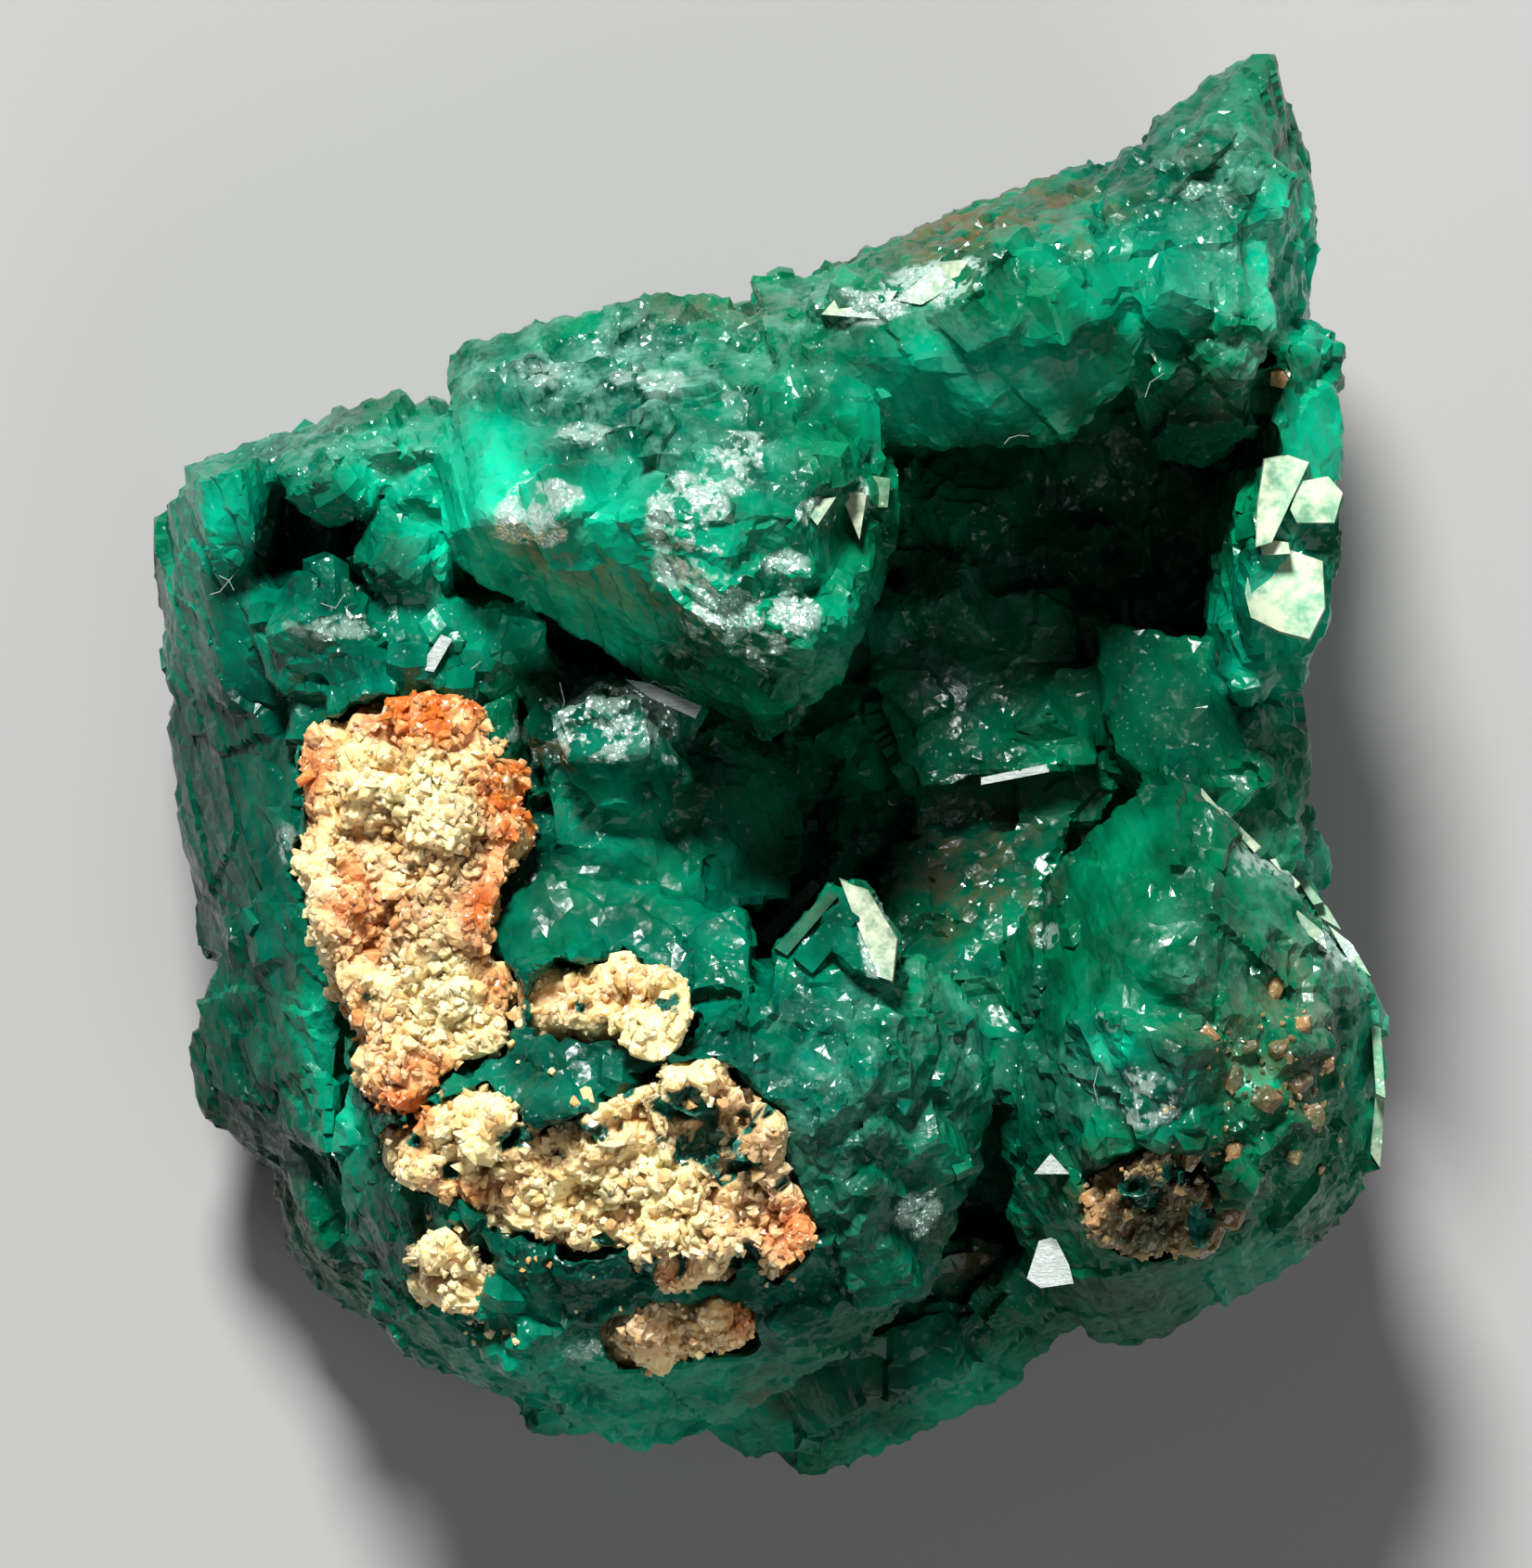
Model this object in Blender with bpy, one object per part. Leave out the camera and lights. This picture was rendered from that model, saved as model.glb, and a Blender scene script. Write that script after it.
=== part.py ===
"""A dioptase specimen lying on its broken back: deep green crystals grown together round an open pocket,
with crusts of pale sugary calcite on them. Lengths are in millimetres until a mesh is made, in metres.

Origin: middle of the specimen's outline, on the surface it lies on. +Y runs up the specimen towards its peak,
+Z points out of the crystal face.
"""

import math
import random

import bmesh
import bpy
import numpy as np
from mathutils import Matrix, Vector
from mathutils.bvhtree import BVHTree

MM = 0.001

# Driving dimensions
HALF_WIDTH = 13.3
HEIGHT = 17.8
SEAT_GAP = 0.3  # between a crust and the crystal it grew on
RIM_CLEAR = 0.35  # how far the small crystals stay above the underside
INSET = 0.97  # the share of the outline that the small crystals keep within

DIOPTASE_GREEN = (0.004, 0.16, 0.085, 1.0)
CALCITE_CREAM = (0.78, 0.62, 0.38, 1.0)

# The corners of each crystal that makes a main form. Crystals overlap, and grow together in one solid.
CRYSTALS = {
    # the broken back that the specimen lies on
    "root": [
        (-8.8, 4.0, 0), (-9.6, -0.5, 0), (-8.6, -5.6, 0), (-5.6, -9.4, 0), (-1.8, -10.6, 0), (3.4, -10.2, 0),
        (6.6, -8.4, 0), (9.0, -5.0, 0), (9.4, 0.5, 0), (8.4, 8.0, 0), (5.4, 9.2, 0), (-3.6, 6.8, 0),
        (-11.6, 4.8, 2.6), (-11.8, 0.2, 3.4), (-11.0, -4.9, 2.4), (-9.0, -8.6, 3.2), (-6.2, -11.2, 2.2),
        (-1.6, -12.2, 3.2), (3.0, -12.0, 2.4), (7.9, -9.8, 3.0), (10.7, -7.2, 2.6), (11.2, -2.5, 3.2),
        (10.4, 6.6, 2.8), (9.8, 10.6, 3.2), (6.8, 11.0, 2.4), (-5.2, 7.8, 3.4),
        (-10.0, 4.0, 5.2), (-10.0, -4.6, 4.8), (-5.6, -10.4, 5.0), (5.6, -9.4, 5.2), (10.0, -5.0, 4.6),
        (9.2, 9.0, 5.2), (-3.6, 6.8, 4.8),
    ],
    # the left wall: three long prisms stacked down the flank
    "left_wall_upper": [
        (-12.9, 5.9, 8.6), (-12.4, 6.1, 10.4), (-10.6, 3.6, 11.0), (-9.4, 1.2, 10.6), (-13.3, 5.4, 6.0),
        (-13.15, 2.6, 5.4), (-13.0, 1.8, 6.2), (-11.6, 1.4, 9.4), (-12.2, 5.6, 2.0), (-12.0, 1.8, 1.6),
        (-9.0, 4.5, 2.0), (-9.0, 1.0, 2.0),
    ],
    "left_wall_middle": [
        (-12.2, 2.6, 8.2), (-10.8, 2.8, 10.0), (-9.6, 1.8, 10.4), (-9.3, -3.4, 9.9), (-13.1, 1.0, 5.6),
        (-12.9, -0.2, 5.4), (-12.2, -3.9, 4.8), (-11.0, -4.2, 8.4), (-12.6, 2.2, 4.8), (-11.9, 1.0, 1.2),
        (-11.2, -3.8, 1.0), (-8.8, 2.0, 1.5), (-8.8, -4.0, 1.5),
    ],
    "left_wall_lower": [
        (-11.8, -3.5, 7.0), (-12.3, -5.1, 5.6), (-12.6, -6.0, 4.8), (-12.3, -7.0, 4.4), (-11.6, -7.9, 4.2),
        (-10.8, -8.45, 4.2), (-10.3, -3.0, 9.4), (-9.2, -4.4, 9.7), (-9.5, -8.2, 8.6), (-11.0, -4.5, 1.2),
        (-11.4, -6.6, 1.2), (-9.8, -8.0, 1.0), (-8.0, -4.0, 1.5),
    ],
    "left_foot": [
        (-10.8, -8.4, 4.0), (-10.6, -9.4, 3.2), (-10.45, -10.4, 3.0), (-9.8, -11.25, 3.0), (-8.6, -12.0, 3.2),
        (-7.4, -12.7, 3.6), (-9.6, -8.2, 7.2), (-8.6, -10.4, 7.0), (-6.4, -12.0, 6.4), (-9.4, -8.6, 0.8),
        (-8.6, -10.6, 0.8), (-6.6, -11.6, 0.8),
    ],
    # the upper left corner: a broken rim round a shallow hollow
    "corner_rim_left": [
        (-12.5, 6.6, 9.2), (-12.54, 6.0, 10.0), (-12.2, 6.3, 11.8), (-11.4, 6.5, 12.4), (-11.0, 4.9, 12.0),
        (-12.2, 4.6, 11.2), (-11.7, 3.9, 10.6), (-11.4, 5.4, 2.0), (-10.2, 5.0, 1.2), (-11.8, 6.85, 8.5),
        (-10.4, 6.9, 10.5), (-10.7, 4.6, 9.0),
    ],
    "corner_rim_top": [
        (-11.8, 6.85, 9.0), (-10.2, 7.1, 9.8), (-9.7, 7.6, 10.0), (-8.6, 7.85, 10.4), (-7.3, 8.1, 10.6),
        (-9.6, 6.8, 12.6), (-8.0, 7.0, 13.0), (-6.8, 6.9, 12.6), (-10.6, 6.2, 11.8), (-9.8, 5.7, 10.8),
        (-7.4, 5.5, 11.4), (-9.6, 5.6, 1.4), (-6.6, 7.2, 1.6),
    ],
    "corner_rim_right": [
        (-8.3, 6.4, 12.4), (-7.1, 6.4, 12.6), (-6.9, 3.8, 11.8), (-8.2, 3.5, 11.4), (-8.9, 5.0, 10.4),
        (-6.4, 5.2, 5.0), (-8.4, 5.2, 5.0), (-6.6, 3.4, 8.0),
    ],
    "corner_floor": [
        (-11.8, 5.8, 8.2), (-7.4, 6.6, 8.8), (-7.0, 3.0, 9.2), (-11.2, 3.2, 8.6), (-10.4, 5.0, 1.6),
        (-7.0, 6.4, 3.0), (-7.0, 3.0, 3.0), (-11.0, 3.2, 3.0),
    ],
    "corner_sill": [
        (-11.2, 3.2, 10.6), (-10.2, 3.5, 11.4), (-8.6, 3.6, 11.7), (-6.8, 3.7, 11.6), (-5.0, 3.2, 11.2),
        (-4.6, 1.9, 10.4), (-6.2, 1.7, 11.0), (-8.2, 2.0, 11.7), (-9.8, 1.6, 11.2), (-10.7, 2.0, 10.8),
        (-10.6, 2.4, 2.0), (-5.0, 2.4, 2.0), (-5.2, 3.8, 8.0),
    ],
    # the crystal that stands highest, its rough faces towards the peak
    "centre_crystal": [
        (-6.9, 8.8, 11.0), (-6.6, 9.3, 11.4), (-5.4, 9.45, 11.8), (-3.5, 9.7, 12.2), (-1.4, 10.3, 12.4),
        (0.2, 9.5, 13.2), (-7.1, 6.4, 13.0), (-7.0, 5.0, 13.2), (-6.6, 4.4, 12.6), (-5.9, 5.4, 15.8),
        (-4.4, 5.2, 16.8), (-1.6, 5.6, 17.8), (0.5, 5.4, 17.5), (1.3, 6.6, 16.2), (-5.2, 3.6, 12.2),
        (-2.6, 2.2, 12.4), (0.0, 0.6, 12.0), (-1.9, 3.6, 16.2), (0.2, 2.1, 15.2), (1.4, 3.4, 15.6),
        (1.5, 1.9, 12.6), (2.3, 3.7, 13.2), (2.6, 5.2, 13.6), (2.3, 7.0, 13.9), (-6.0, 5.2, 6.0),
        (-4.5, 4.4, 5.0), (-0.8, 2.2, 5.6), (1.0, 4.6, 4.8), (0.0, 8.4, 2.0), (-5.6, 7.6, 1.4),
    ],
    # the long crystal that roofs the pocket, undercut below
    "ridge_crystal": [
        (1.0, 10.7, 9.6), (2.6, 11.2, 9.2), (4.4, 12.0, 9.2), (6.0, 12.9, 9.4), (7.2, 13.1, 10.0),
        (0.9, 9.9, 15.0), (2.4, 9.9, 15.9), (5.2, 11.1, 15.6), (6.7, 11.5, 15.0), (0.6, 8.8, 15.0),
        (3.0, 8.8, 15.8), (6.8, 9.4, 15.4), (8.0, 9.3, 14.6), (2.5, 7.0, 13.6), (4.4, 6.9, 13.8),
        (6.1, 6.8, 14.0), (7.6, 8.0, 14.0), (8.2, 9.0, 13.8), (2.6, 7.9, 11.0), (6.0, 7.9, 11.0),
        (7.6, 9.0, 10.5), (1.5, 9.0, 1.6), (6.3, 10.0, 1.4), (2.2, 8.4, 3.0), (7.0, 9.4, 3.0),
    ],
    "ridge_saddle": [
        (-0.4, 10.6, 11.8), (0.9, 10.5, 11.6), (-0.2, 9.5, 14.2), (1.6, 9.2, 15.2), (2.5, 7.4, 14.4),
        (2.2, 6.2, 14.6), (0.8, 7.2, 15.4), (0.4, 9.0, 2.0), (2.0, 7.4, 4.0),
    ],
    "saddle_facets": [
        (1.2, 6.2, 15.4), (2.0, 6.0, 15.2), (2.3, 5.4, 14.4), (1.7, 4.9, 14.8), (2.5, 6.4, 13.6),
        (1.0, 5.6, 12.0), (2.0, 5.4, 11.0),
    ],
    # the peak at the upper right
    "peak": [
        (10.6, 15.4, 10.4), (10.9, 15.2, 9.8), (9.4, 14.7, 9.8), (8.2, 13.9, 9.8), (7.2, 13.1, 10.2),
        (10.2, 13.8, 12.6), (10.5, 12.4, 13.6), (10.8, 10.6, 14.2), (10.2, 8.8, 14.2), (7.2, 10.4, 15.0),
        (8.4, 9.3, 14.6), (9.6, 8.9, 14.2), (7.2, 12.2, 14.0), (11.1, 14.8, 9.0), (11.5, 13.8, 8.6),
        (11.68, 12.6, 8.6), (11.56, 11.4, 9.0), (11.6, 9.7, 9.4), (7.6, 11.2, 1.8), (9.8, 11.6, 2.0),
        (10.2, 9.4, 1.4), (7.5, 9.6, 2.0),
    ],
    "peak_step": [
        (8.0, 12.2, 14.8), (9.9, 12.6, 14.2), (10.3, 10.6, 14.9), (9.8, 9.2, 14.8), (8.2, 9.6, 15.1),
        (7.0, 10.8, 15.2), (8.5, 11.5, 12.0), (9.8, 10.0, 12.0),
    ],
    "under_peak": [
        (7.5, 8.8, 13.0), (10.5, 8.7, 12.8), (10.4, 7.4, 12.4), (9.4, 6.6, 11.6), (8.0, 7.0, 11.4),
        (7.6, 8.6, 2.0), (10.2, 8.2, 2.0), (9.8, 7.4, 4.0), (8.4, 7.8, 4.0),
    ],
    # the right wall of the pocket
    "right_knob": [
        (11.5, 9.6, 12.0), (12.1, 9.34, 11.6), (12.3, 9.0, 11.2), (12.1, 8.3, 11.2), (11.0, 9.2, 13.0),
        (11.2, 8.3, 13.2), (10.6, 8.6, 12.6), (10.8, 9.2, 2.4), (11.0, 8.2, 2.2), (10.2, 8.4, 2.4),
    ],
    "right_shoulder": [
        (10.9, 8.3, 13.0), (12.05, 8.2, 12.0), (12.34, 6.8, 11.6), (12.3, 6.2, 11.8), (11.0, 6.2, 13.4),
        (10.8, 7.2, 13.3), (10.9, 7.8, 1.6), (11.0, 6.2, 1.8), (10.0, 7.0, 2.0),
    ],
    "right_pillar": [
        (10.5, 6.6, 13.6), (12.2, 5.9, 13.0), (11.9, 3.6, 12.7), (11.6, 2.8, 12.4), (10.3, 3.3, 13.3),
        (10.2, 4.6, 13.6), (9.7, 6.2, 8.0), (9.3, 2.2, 8.4), (11.4, 1.6, 9.6), (10.0, 1.6, 9.8),
        (11.7, 2.6, 9.0), (10.8, 5.6, 1.2), (10.6, 2.2, 1.6), (9.6, 2.0, 3.0), (9.6, 6.2, 3.0),
    ],
    "right_low": [
        (7.0, 3.2, 8.2), (9.4, 2.8, 9.0), (11.3, 1.8, 8.8), (11.2, 0.8, 8.4), (11.5, -0.4, 8.0),
        (11.2, -2.2, 8.2), (8.8, -0.6, 9.4), (7.4, 0.4, 8.6), (10.8, 2.0, 2.0), (10.8, -2.0, 2.0),
        (7.6, 2.6, 4.0), (7.6, -1.0, 4.0),
    ],
    "right_bead": [
        (11.7, -0.9, 6.6), (12.1, -1.9, 5.4), (12.14, -2.6, 5.2), (11.2, -0.2, 6.5), (11.0, -2.8, 6.0),
        (10.6, -1.4, 3.0),
    ],
    # the pocket's floor
    "pocket_block": [
        (2.4, 3.6, 6.6), (6.4, 4.0, 6.4), (6.9, 0.2, 8.0), (3.2, -0.4, 7.6), (2.3, 1.4, 7.2),
        (2.4, 3.4, 3.0), (6.4, 3.6, 3.0), (6.8, 0.0, 3.0), (2.6, -0.4, 3.0),
    ],
    "pocket_sill": [
        (2.6, -1.6, 6.4), (6.6, -1.0, 7.2), (5.6, -4.2, 8.8), (2.0, -5.4, 8.8), (2.4, -2.0, 3.0),
        (6.6, -1.2, 3.0), (5.6, -4.4, 3.0), (1.8, -5.4, 3.0),
    ],
    # crystals that fill the body behind the left wall
    "left_heart": [
        (-10.4, 4.8, 1.6), (-10.2, -7.0, 1.6), (-6.0, -8.5, 1.6), (-6.0, 5.0, 1.6), (-10.6, 4.2, 8.2),
        (-10.0, -7.6, 7.4), (-8.6, -9.4, 6.0), (-6.0, -8.5, 8.5), (-6.0, 5.0, 8.5),
    ],
    # the small crystal beside the centre crystal, and what it grows from
    "small_crystal": [
        (-4.6, 1.3, 12.8), (-3.7, 1.65, 12.9), (-2.7, 1.5, 13.0), (-2.5, 0.3, 12.9), (-4.3, 0.3, 12.7),
        (-1.7, -0.2, 11.2), (-3.2, -0.9, 11.4), (-4.4, -0.3, 11.6), (-3.8, 1.2, 7.0), (-2.2, 0.6, 7.0),
        (-3.0, -0.6, 7.0),
    ],
    "small_crystal_root": [
        (-5.2, 2.4, 10.6), (-4.9, 0.4, 11.0), (-4.7, -1.6, 11.0), (-2.6, -1.8, 10.6), (-1.6, 1.6, 10.4),
        (-5.0, 2.2, 3.0), (-4.8, -1.8, 3.0), (-1.8, -1.6, 3.0), (-1.6, 2.0, 3.0),
    ],
    "inner_slope": [
        (-3.4, -0.8, 10.6), (-1.2, 1.0, 9.6), (0.6, -0.2, 8.4), (0.4, -2.8, 9.4), (-2.0, -2.8, 10.8),
        (-3.0, -1.0, 3.0), (-1.0, 0.8, 3.0), (0.8, -0.6, 3.0), (0.4, -3.0, 3.0),
    ],
    "column_bed": [
        (-10.3, 1.8, 10.6), (-5.6, 1.7, 10.6), (-5.0, -1.2, 10.4), (-5.4, -5.0, 11.4), (-8.7, -7.0, 11.0),
        (-10.0, -2.0, 10.8), (-7.6, 0.0, 11.6), (-7.4, -4.0, 11.8), (-9.8, 1.6, 3.0), (-5.2, 1.6, 3.0),
        (-5.2, -5.0, 3.0), (-8.6, -6.8, 3.0),
    ],
    # the broad crystal at the lower left, its face turned to the viewer
    "front_crystal": [
        (-8.2, -5.6, 11.2), (-9.0, -6.8, 10.4), (-9.3, -8.6, 9.8), (-9.1, -10.2, 9.2), (-8.5, -11.6, 8.8),
        (-7.5, -12.9, 8.2), (-5.7, -13.5, 8.4), (-3.8, -14.2, 8.2), (-2.8, -14.56, 8.0), (-1.6, -14.4, 8.2),
        (0.0, -13.0, 9.4), (1.4, -12.6, 9.8), (3.4, -11.2, 10.4), (3.6, -10.0, 11.0), (4.3, -8.6, 11.6),
        (4.8, -7.0, 12.0), (4.6, -5.2, 12.2), (3.4, -3.9, 12.6), (-5.6, -7.8, 14.3), (-2.5, -8.0, 15.3),
        (0.8, -6.8, 15.3), (2.8, -6.4, 14.7), (-4.2, -11.0, 13.5), (0.4, -10.6, 13.5), (-6.6, -10.0, 12.9),
        (-0.5, -5.2, 14.8), (-4.2, -5.4, 13.9), (-8.6, -6.4, 1.6), (-7.0, -10.4, 1.4), (-3.0, -12.0, 1.6),
        (0.5, -11.4, 1.4), (3.0, -10.0, 2.0), (4.0, -7.0, 4.0), (2.6, -4.6, 4.0), (-4.5, -4.0, 4.0),
    ],
    "front_shoulder": [
        (-6.2, -3.4, 11.8), (-6.0, -4.0, 12.4), (-4.7, -2.1, 12.0), (-2.4, -2.5, 12.6), (-0.6, -3.1, 13.0),
        (-0.4, -4.6, 14.2), (-3.2, -4.8, 13.7), (-5.4, -4.6, 13.2), (-5.6, -3.2, 4.0), (-4.2, -2.4, 4.0),
        (-0.6, -3.2, 4.0), (-1.0, -5.0, 4.0), (-5.0, -5.0, 4.0),
    ],
    "front_plate_long": [
        (0.2, -3.9, 13.5), (1.3, -2.35, 13.6), (2.9, -4.3, 13.9), (1.8, -5.8, 14.9), (-0.1, -5.2, 14.7),
        (0.4, -3.9, 5.0), (1.3, -2.7, 5.0), (2.7, -4.3, 5.0), (1.6, -5.4, 5.0),
    ],
    "front_plate_end": [
        (1.0, -3.0, 14.1), (1.75, -2.3, 14.2), (2.1, -2.4, 13.9), (2.75, -3.5, 13.4), (2.65, -4.5, 13.7),
        (2.2, -3.6, 14.6), (2.3, -4.4, 14.9), (1.6, -4.1, 14.9), (1.4, -3.0, 8.0), (2.2, -2.8, 8.0),
        (2.4, -4.0, 8.0),
    ],
    # the crystal at the lower right, with a peaked top edge
    "right_front_crystal": [
        (4.9, -3.6, 10.4), (6.0, -2.2, 11.9), (7.2, -0.9, 12.8), (8.2, -0.3, 13.2), (9.1, -0.35, 13.2),
        (11.0, -2.4, 11.8), (12.9, -4.6, 10.2), (13.2, -5.4, 9.6), (13.3, -6.2, 9.0), (13.1, -7.6, 8.8),
        (12.9, -9.1, 8.6), (11.4, -10.5, 8.4), (10.0, -11.3, 8.2), (8.5, -12.2, 8.2), (7.6, -12.4, 8.2),
        (6.9, -12.2, 8.4), (6.0, -11.4, 9.0), (5.2, -9.6, 9.8), (4.9, -8.0, 10.2), (5.0, -5.6, 10.6),
        (7.6, -4.0, 14.8), (9.6, -4.4, 14.8), (10.9, -5.6, 13.4), (8.0, -7.2, 15.0), (10.6, -8.0, 13.4),
        (7.6, -9.6, 13.4), (6.2, -6.4, 13.4), (8.9, -1.6, 14.6), (6.0, -4.0, 2.0), (10.6, -2.4, 1.8),
        (10.8, -7.2, 1.4), (7.4, -9.6, 1.4), (6.0, -8.0, 2.0),
    ],
    "right_front_blade": [
        (9.1, -0.4, 13.8), (9.5, -0.9, 14.0), (13.0, -4.9, 10.8), (12.6, -4.5, 11.4), (11.6, -5.2, 13.2),
        (9.4, -3.0, 14.9), (9.2, -1.2, 12.0), (12.2, -5.2, 9.0),
    ],
    # crystals of the underside that show past the front ones
    "foot_right": [
        (-1.4, -14.3, 3.0), (0.0, -14.86, 2.6), (1.0, -15.4, 2.8), (2.0, -14.9, 2.8), (3.4, -14.3, 3.0),
        (5.2, -13.4, 3.4), (6.0, -12.6, 3.8), (6.44, -12.0, 4.4), (5.8, -10.4, 6.4), (4.0, -10.0, 6.8),
        (0.5, -11.5, 6.6), (-1.6, -12.4, 5.4), (0.8, -13.4, 0.6), (4.6, -11.6, 0.6), (-0.8, -12.4, 0.6),
    ],
    "foot_ledge": [
        (1.6, -14.2, 4.0), (4.6, -12.9, 4.6), (5.4, -11.6, 5.8), (2.8, -11.4, 6.8), (1.0, -12.6, 6.0),
        (3.0, -11.6, 2.0), (1.6, -13.0, 2.0),
    ],
    "foot_left": [
        (-5.6, -14.2, 3.2), (-4.2, -14.3, 3.2), (-5.8, -13.3, 3.6), (-3.2, -13.9, 3.0), (-5.0, -12.6, 5.0),
        (-3.2, -12.4, 5.0), (-5.0, -13.0, 1.4), (-3.6, -12.8, 1.4),
    ],
}

# Small crystals that grow side by side on the main forms:
# name: (middle x, y), (reach x, y), count, (smallest, largest radius), direction they point, seed
OVERGROWTH = {
    "centre_top": ((-3.4, 7.6), (3.2, 1.9), 10, (0.6, 1.4), (-0.2, 0.55, 0.8), 1),
    "centre_front": ((0.2, 4.4), (1.9, 2.2), 9, (0.5, 1.1), (0.35, -0.1, 0.9), 2),
    "ridge_crest": ((3.9, 10.3), (3.0, 0.8), 8, (0.5, 1.1), (-0.3, 0.5, 0.8), 3),
    "peak_face": ((9.2, 11.2), (1.6, 2.6), 8, (0.6, 1.3), (-0.3, 0.2, 0.9), 4),
    "corner": ((-9.6, 5.2), (2.2, 2.2), 11, (0.5, 1.2), (-0.2, 0.3, 0.9), 5),
    "sill": ((-7.8, 2.6), (2.8, 0.9), 7, (0.5, 1.0), (-0.1, 0.2, 1.0), 6),
    "front_face": ((-3.0, -8.4), (5.0, 4.6), 16, (0.7, 1.4), (0.1, 0.2, 1.0), 7),
    "front_right": ((2.6, -7.6), (1.8, 3.2), 9, (0.7, 1.4), (0.3, 0.3, 0.9), 8),
    "right_front_face": ((9.4, -7.0), (3.0, 3.4), 12, (0.6, 1.2), (0.1, 0.1, 1.0), 9),
    "pocket": ((4.6, 2.2), (3.0, 3.2), 8, (0.6, 1.3), (0.1, 0.2, 1.0), 10),
    "pocket_depth": ((6.0, 5.0), (3.2, 1.6), 9, (1.0, 1.9), (0.1, -0.3, 1.0), 12),
    "cleft": ((1.6, -0.2), (1.4, 2.6), 7, (0.8, 1.5), (0.0, 0.2, 1.0), 13),
    "right_wall": ((10.2, 0.6), (1.4, 2.6), 6, (0.6, 1.1), (0.4, 0.0, 0.9), 11),
}

# The specimen's outline seen from above; nothing but the main forms' own corners reaches past it
OUTLINE = [
    (-13.3, 5.7), (-12.5, 6.5), (-11.6, 7.0), (-10.2, 7.1), (-9.7, 7.6), (-7.8, 7.9), (-7.2, 8.1),
    (-7.0, 8.9), (-6.6, 9.3), (-5.4, 9.5), (-3.8, 9.6), (-2.8, 10.2), (-1.4, 10.5), (0.4, 10.8), (2.0, 10.8),
    (3.4, 11.4), (4.6, 11.9), (6.0, 12.9), (7.6, 13.3), (8.9, 14.5), (10.0, 15.1), (10.6, 15.4), (11.1, 14.9),
    (11.6, 13.1), (11.6, 11.0), (11.7, 9.6), (12.3, 9.1), (12.0, 8.0), (12.4, 6.5), (12.0, 5.0), (11.8, 3.8),
    (11.6, 2.5), (11.2, 0.6), (11.6, -0.8), (12.1, -2.5), (13.0, -4.4), (13.3, -6.0), (13.0, -8.8),
    (11.6, -10.3), (9.4, -11.6),
    (7.6, -12.4), (6.4, -12.0), (5.0, -13.6), (3.4, -14.2), (1.0, -15.4), (-0.6, -14.5), (-2.8, -14.6),
    (-5.4, -14.4), (-5.7, -13.7), (-8.0, -12.6), (-10.2, -10.9), (-10.6, -9.3), (-11.8, -7.7), (-12.6, -6.0),
    (-12.2, -4.0), (-12.5, -1.8), (-13.1, 1.0), (-13.2, 4.4),
]

# Larger crystals round the flanks, below the crystal face: count in each ring, each ring's height and the
# share of the way out to the outline at which the crystals start
FLANK_COUNT = 15
FLANK_RINGS = [(2.2, 0.72), (5.6, 0.82)]
FLANK_RADIUS = (1.6, 2.9)

# Crusts: outline seen from above, height of their seat's floor, how far they stand proud of the crystal,
# grain radius, count of grains, seed
CRUSTS = {
    "calcite_column": (
        [(-9.7, 0.7), (-8.6, 1.3), (-6.8, 1.4), (-6.2, 0.9), (-6.15, 0.05), (-5.6, 0.0), (-5.6, -0.9),
         (-5.3, -1.3), (-6.0, -2.4), (-6.3, -3.9), (-5.6, -4.5), (-5.7, -5.8), (-7.1, -6.3), (-7.7, -7.1),
         (-8.4, -6.9), (-8.6, -5.9), (-9.1, -4.6), (-9.8, -1.9), (-9.6, -1.1), (-9.8, 0.1)],
        8.9, 1.9, (0.7, 1.25), 20, 27),
    "calcite_band": (
        [(-8.0, -7.9), (-7.1, -7.4), (-6.1, -6.95), (-5.7, -7.4), (-5.0, -8.0), (-3.6, -7.4), (-2.8, -6.7),
         (-1.2, -6.4), (0.1, -7.5), (0.0, -8.3), (0.8, -9.8), (0.1, -10.6), (-0.7, -9.9), (-1.0, -10.7),
         (-2.3, -10.8), (-2.9, -9.9), (-4.2, -10.1), (-5.6, -9.6), (-6.6, -8.8), (-7.8, -8.6)],
        10.6, 0.9, (0.6, 1.1), 19, 22),
    "calcite_upper_patch": (
        [(-4.9, -4.8), (-4.5, -4.3), (-3.7, -4.5), (-3.1, -4.1), (-2.3, -4.6), (-1.9, -5.3), (-2.4, -5.8),
         (-3.2, -5.5), (-4.2, -5.3), (-4.8, -5.5)],
        10.8, 1.3, (0.4, 0.75), 7, 36),
    "calcite_lower_patch": (
        [(-3.4, -11.9), (-2.6, -11.7), (-1.2, -11.45), (-0.7, -11.6), (-0.6, -12.2), (-1.6, -12.3),
         (-3.2, -12.5)],
        9.6, 0.7, (0.35, 0.6), 6, 24),
    "calcite_left_patch": (
        [(-7.3, -10.2), (-6.7, -9.9), (-6.3, -10.3), (-6.3, -10.9), (-6.7, -11.3), (-7.4, -11.0)],
        9.4, 0.7, (0.4, 0.65), 5, 25),
    "calcite_right_patch": (
        [(7.0, -8.8), (7.7, -8.5), (8.6, -8.2), (9.3, -8.9), (9.2, -9.8), (8.2, -10.2), (7.1, -9.8)],
        11.0, 0.6, (0.35, 0.6), 8, 26),
}
CRUST_TAPER = 0.2  # a crust's sides lean in by this much towards its top


def clear_scene():
    """Removes whatever the scene starts with."""
    for thing in list(bpy.data.objects):
        bpy.data.objects.remove(thing)


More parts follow.
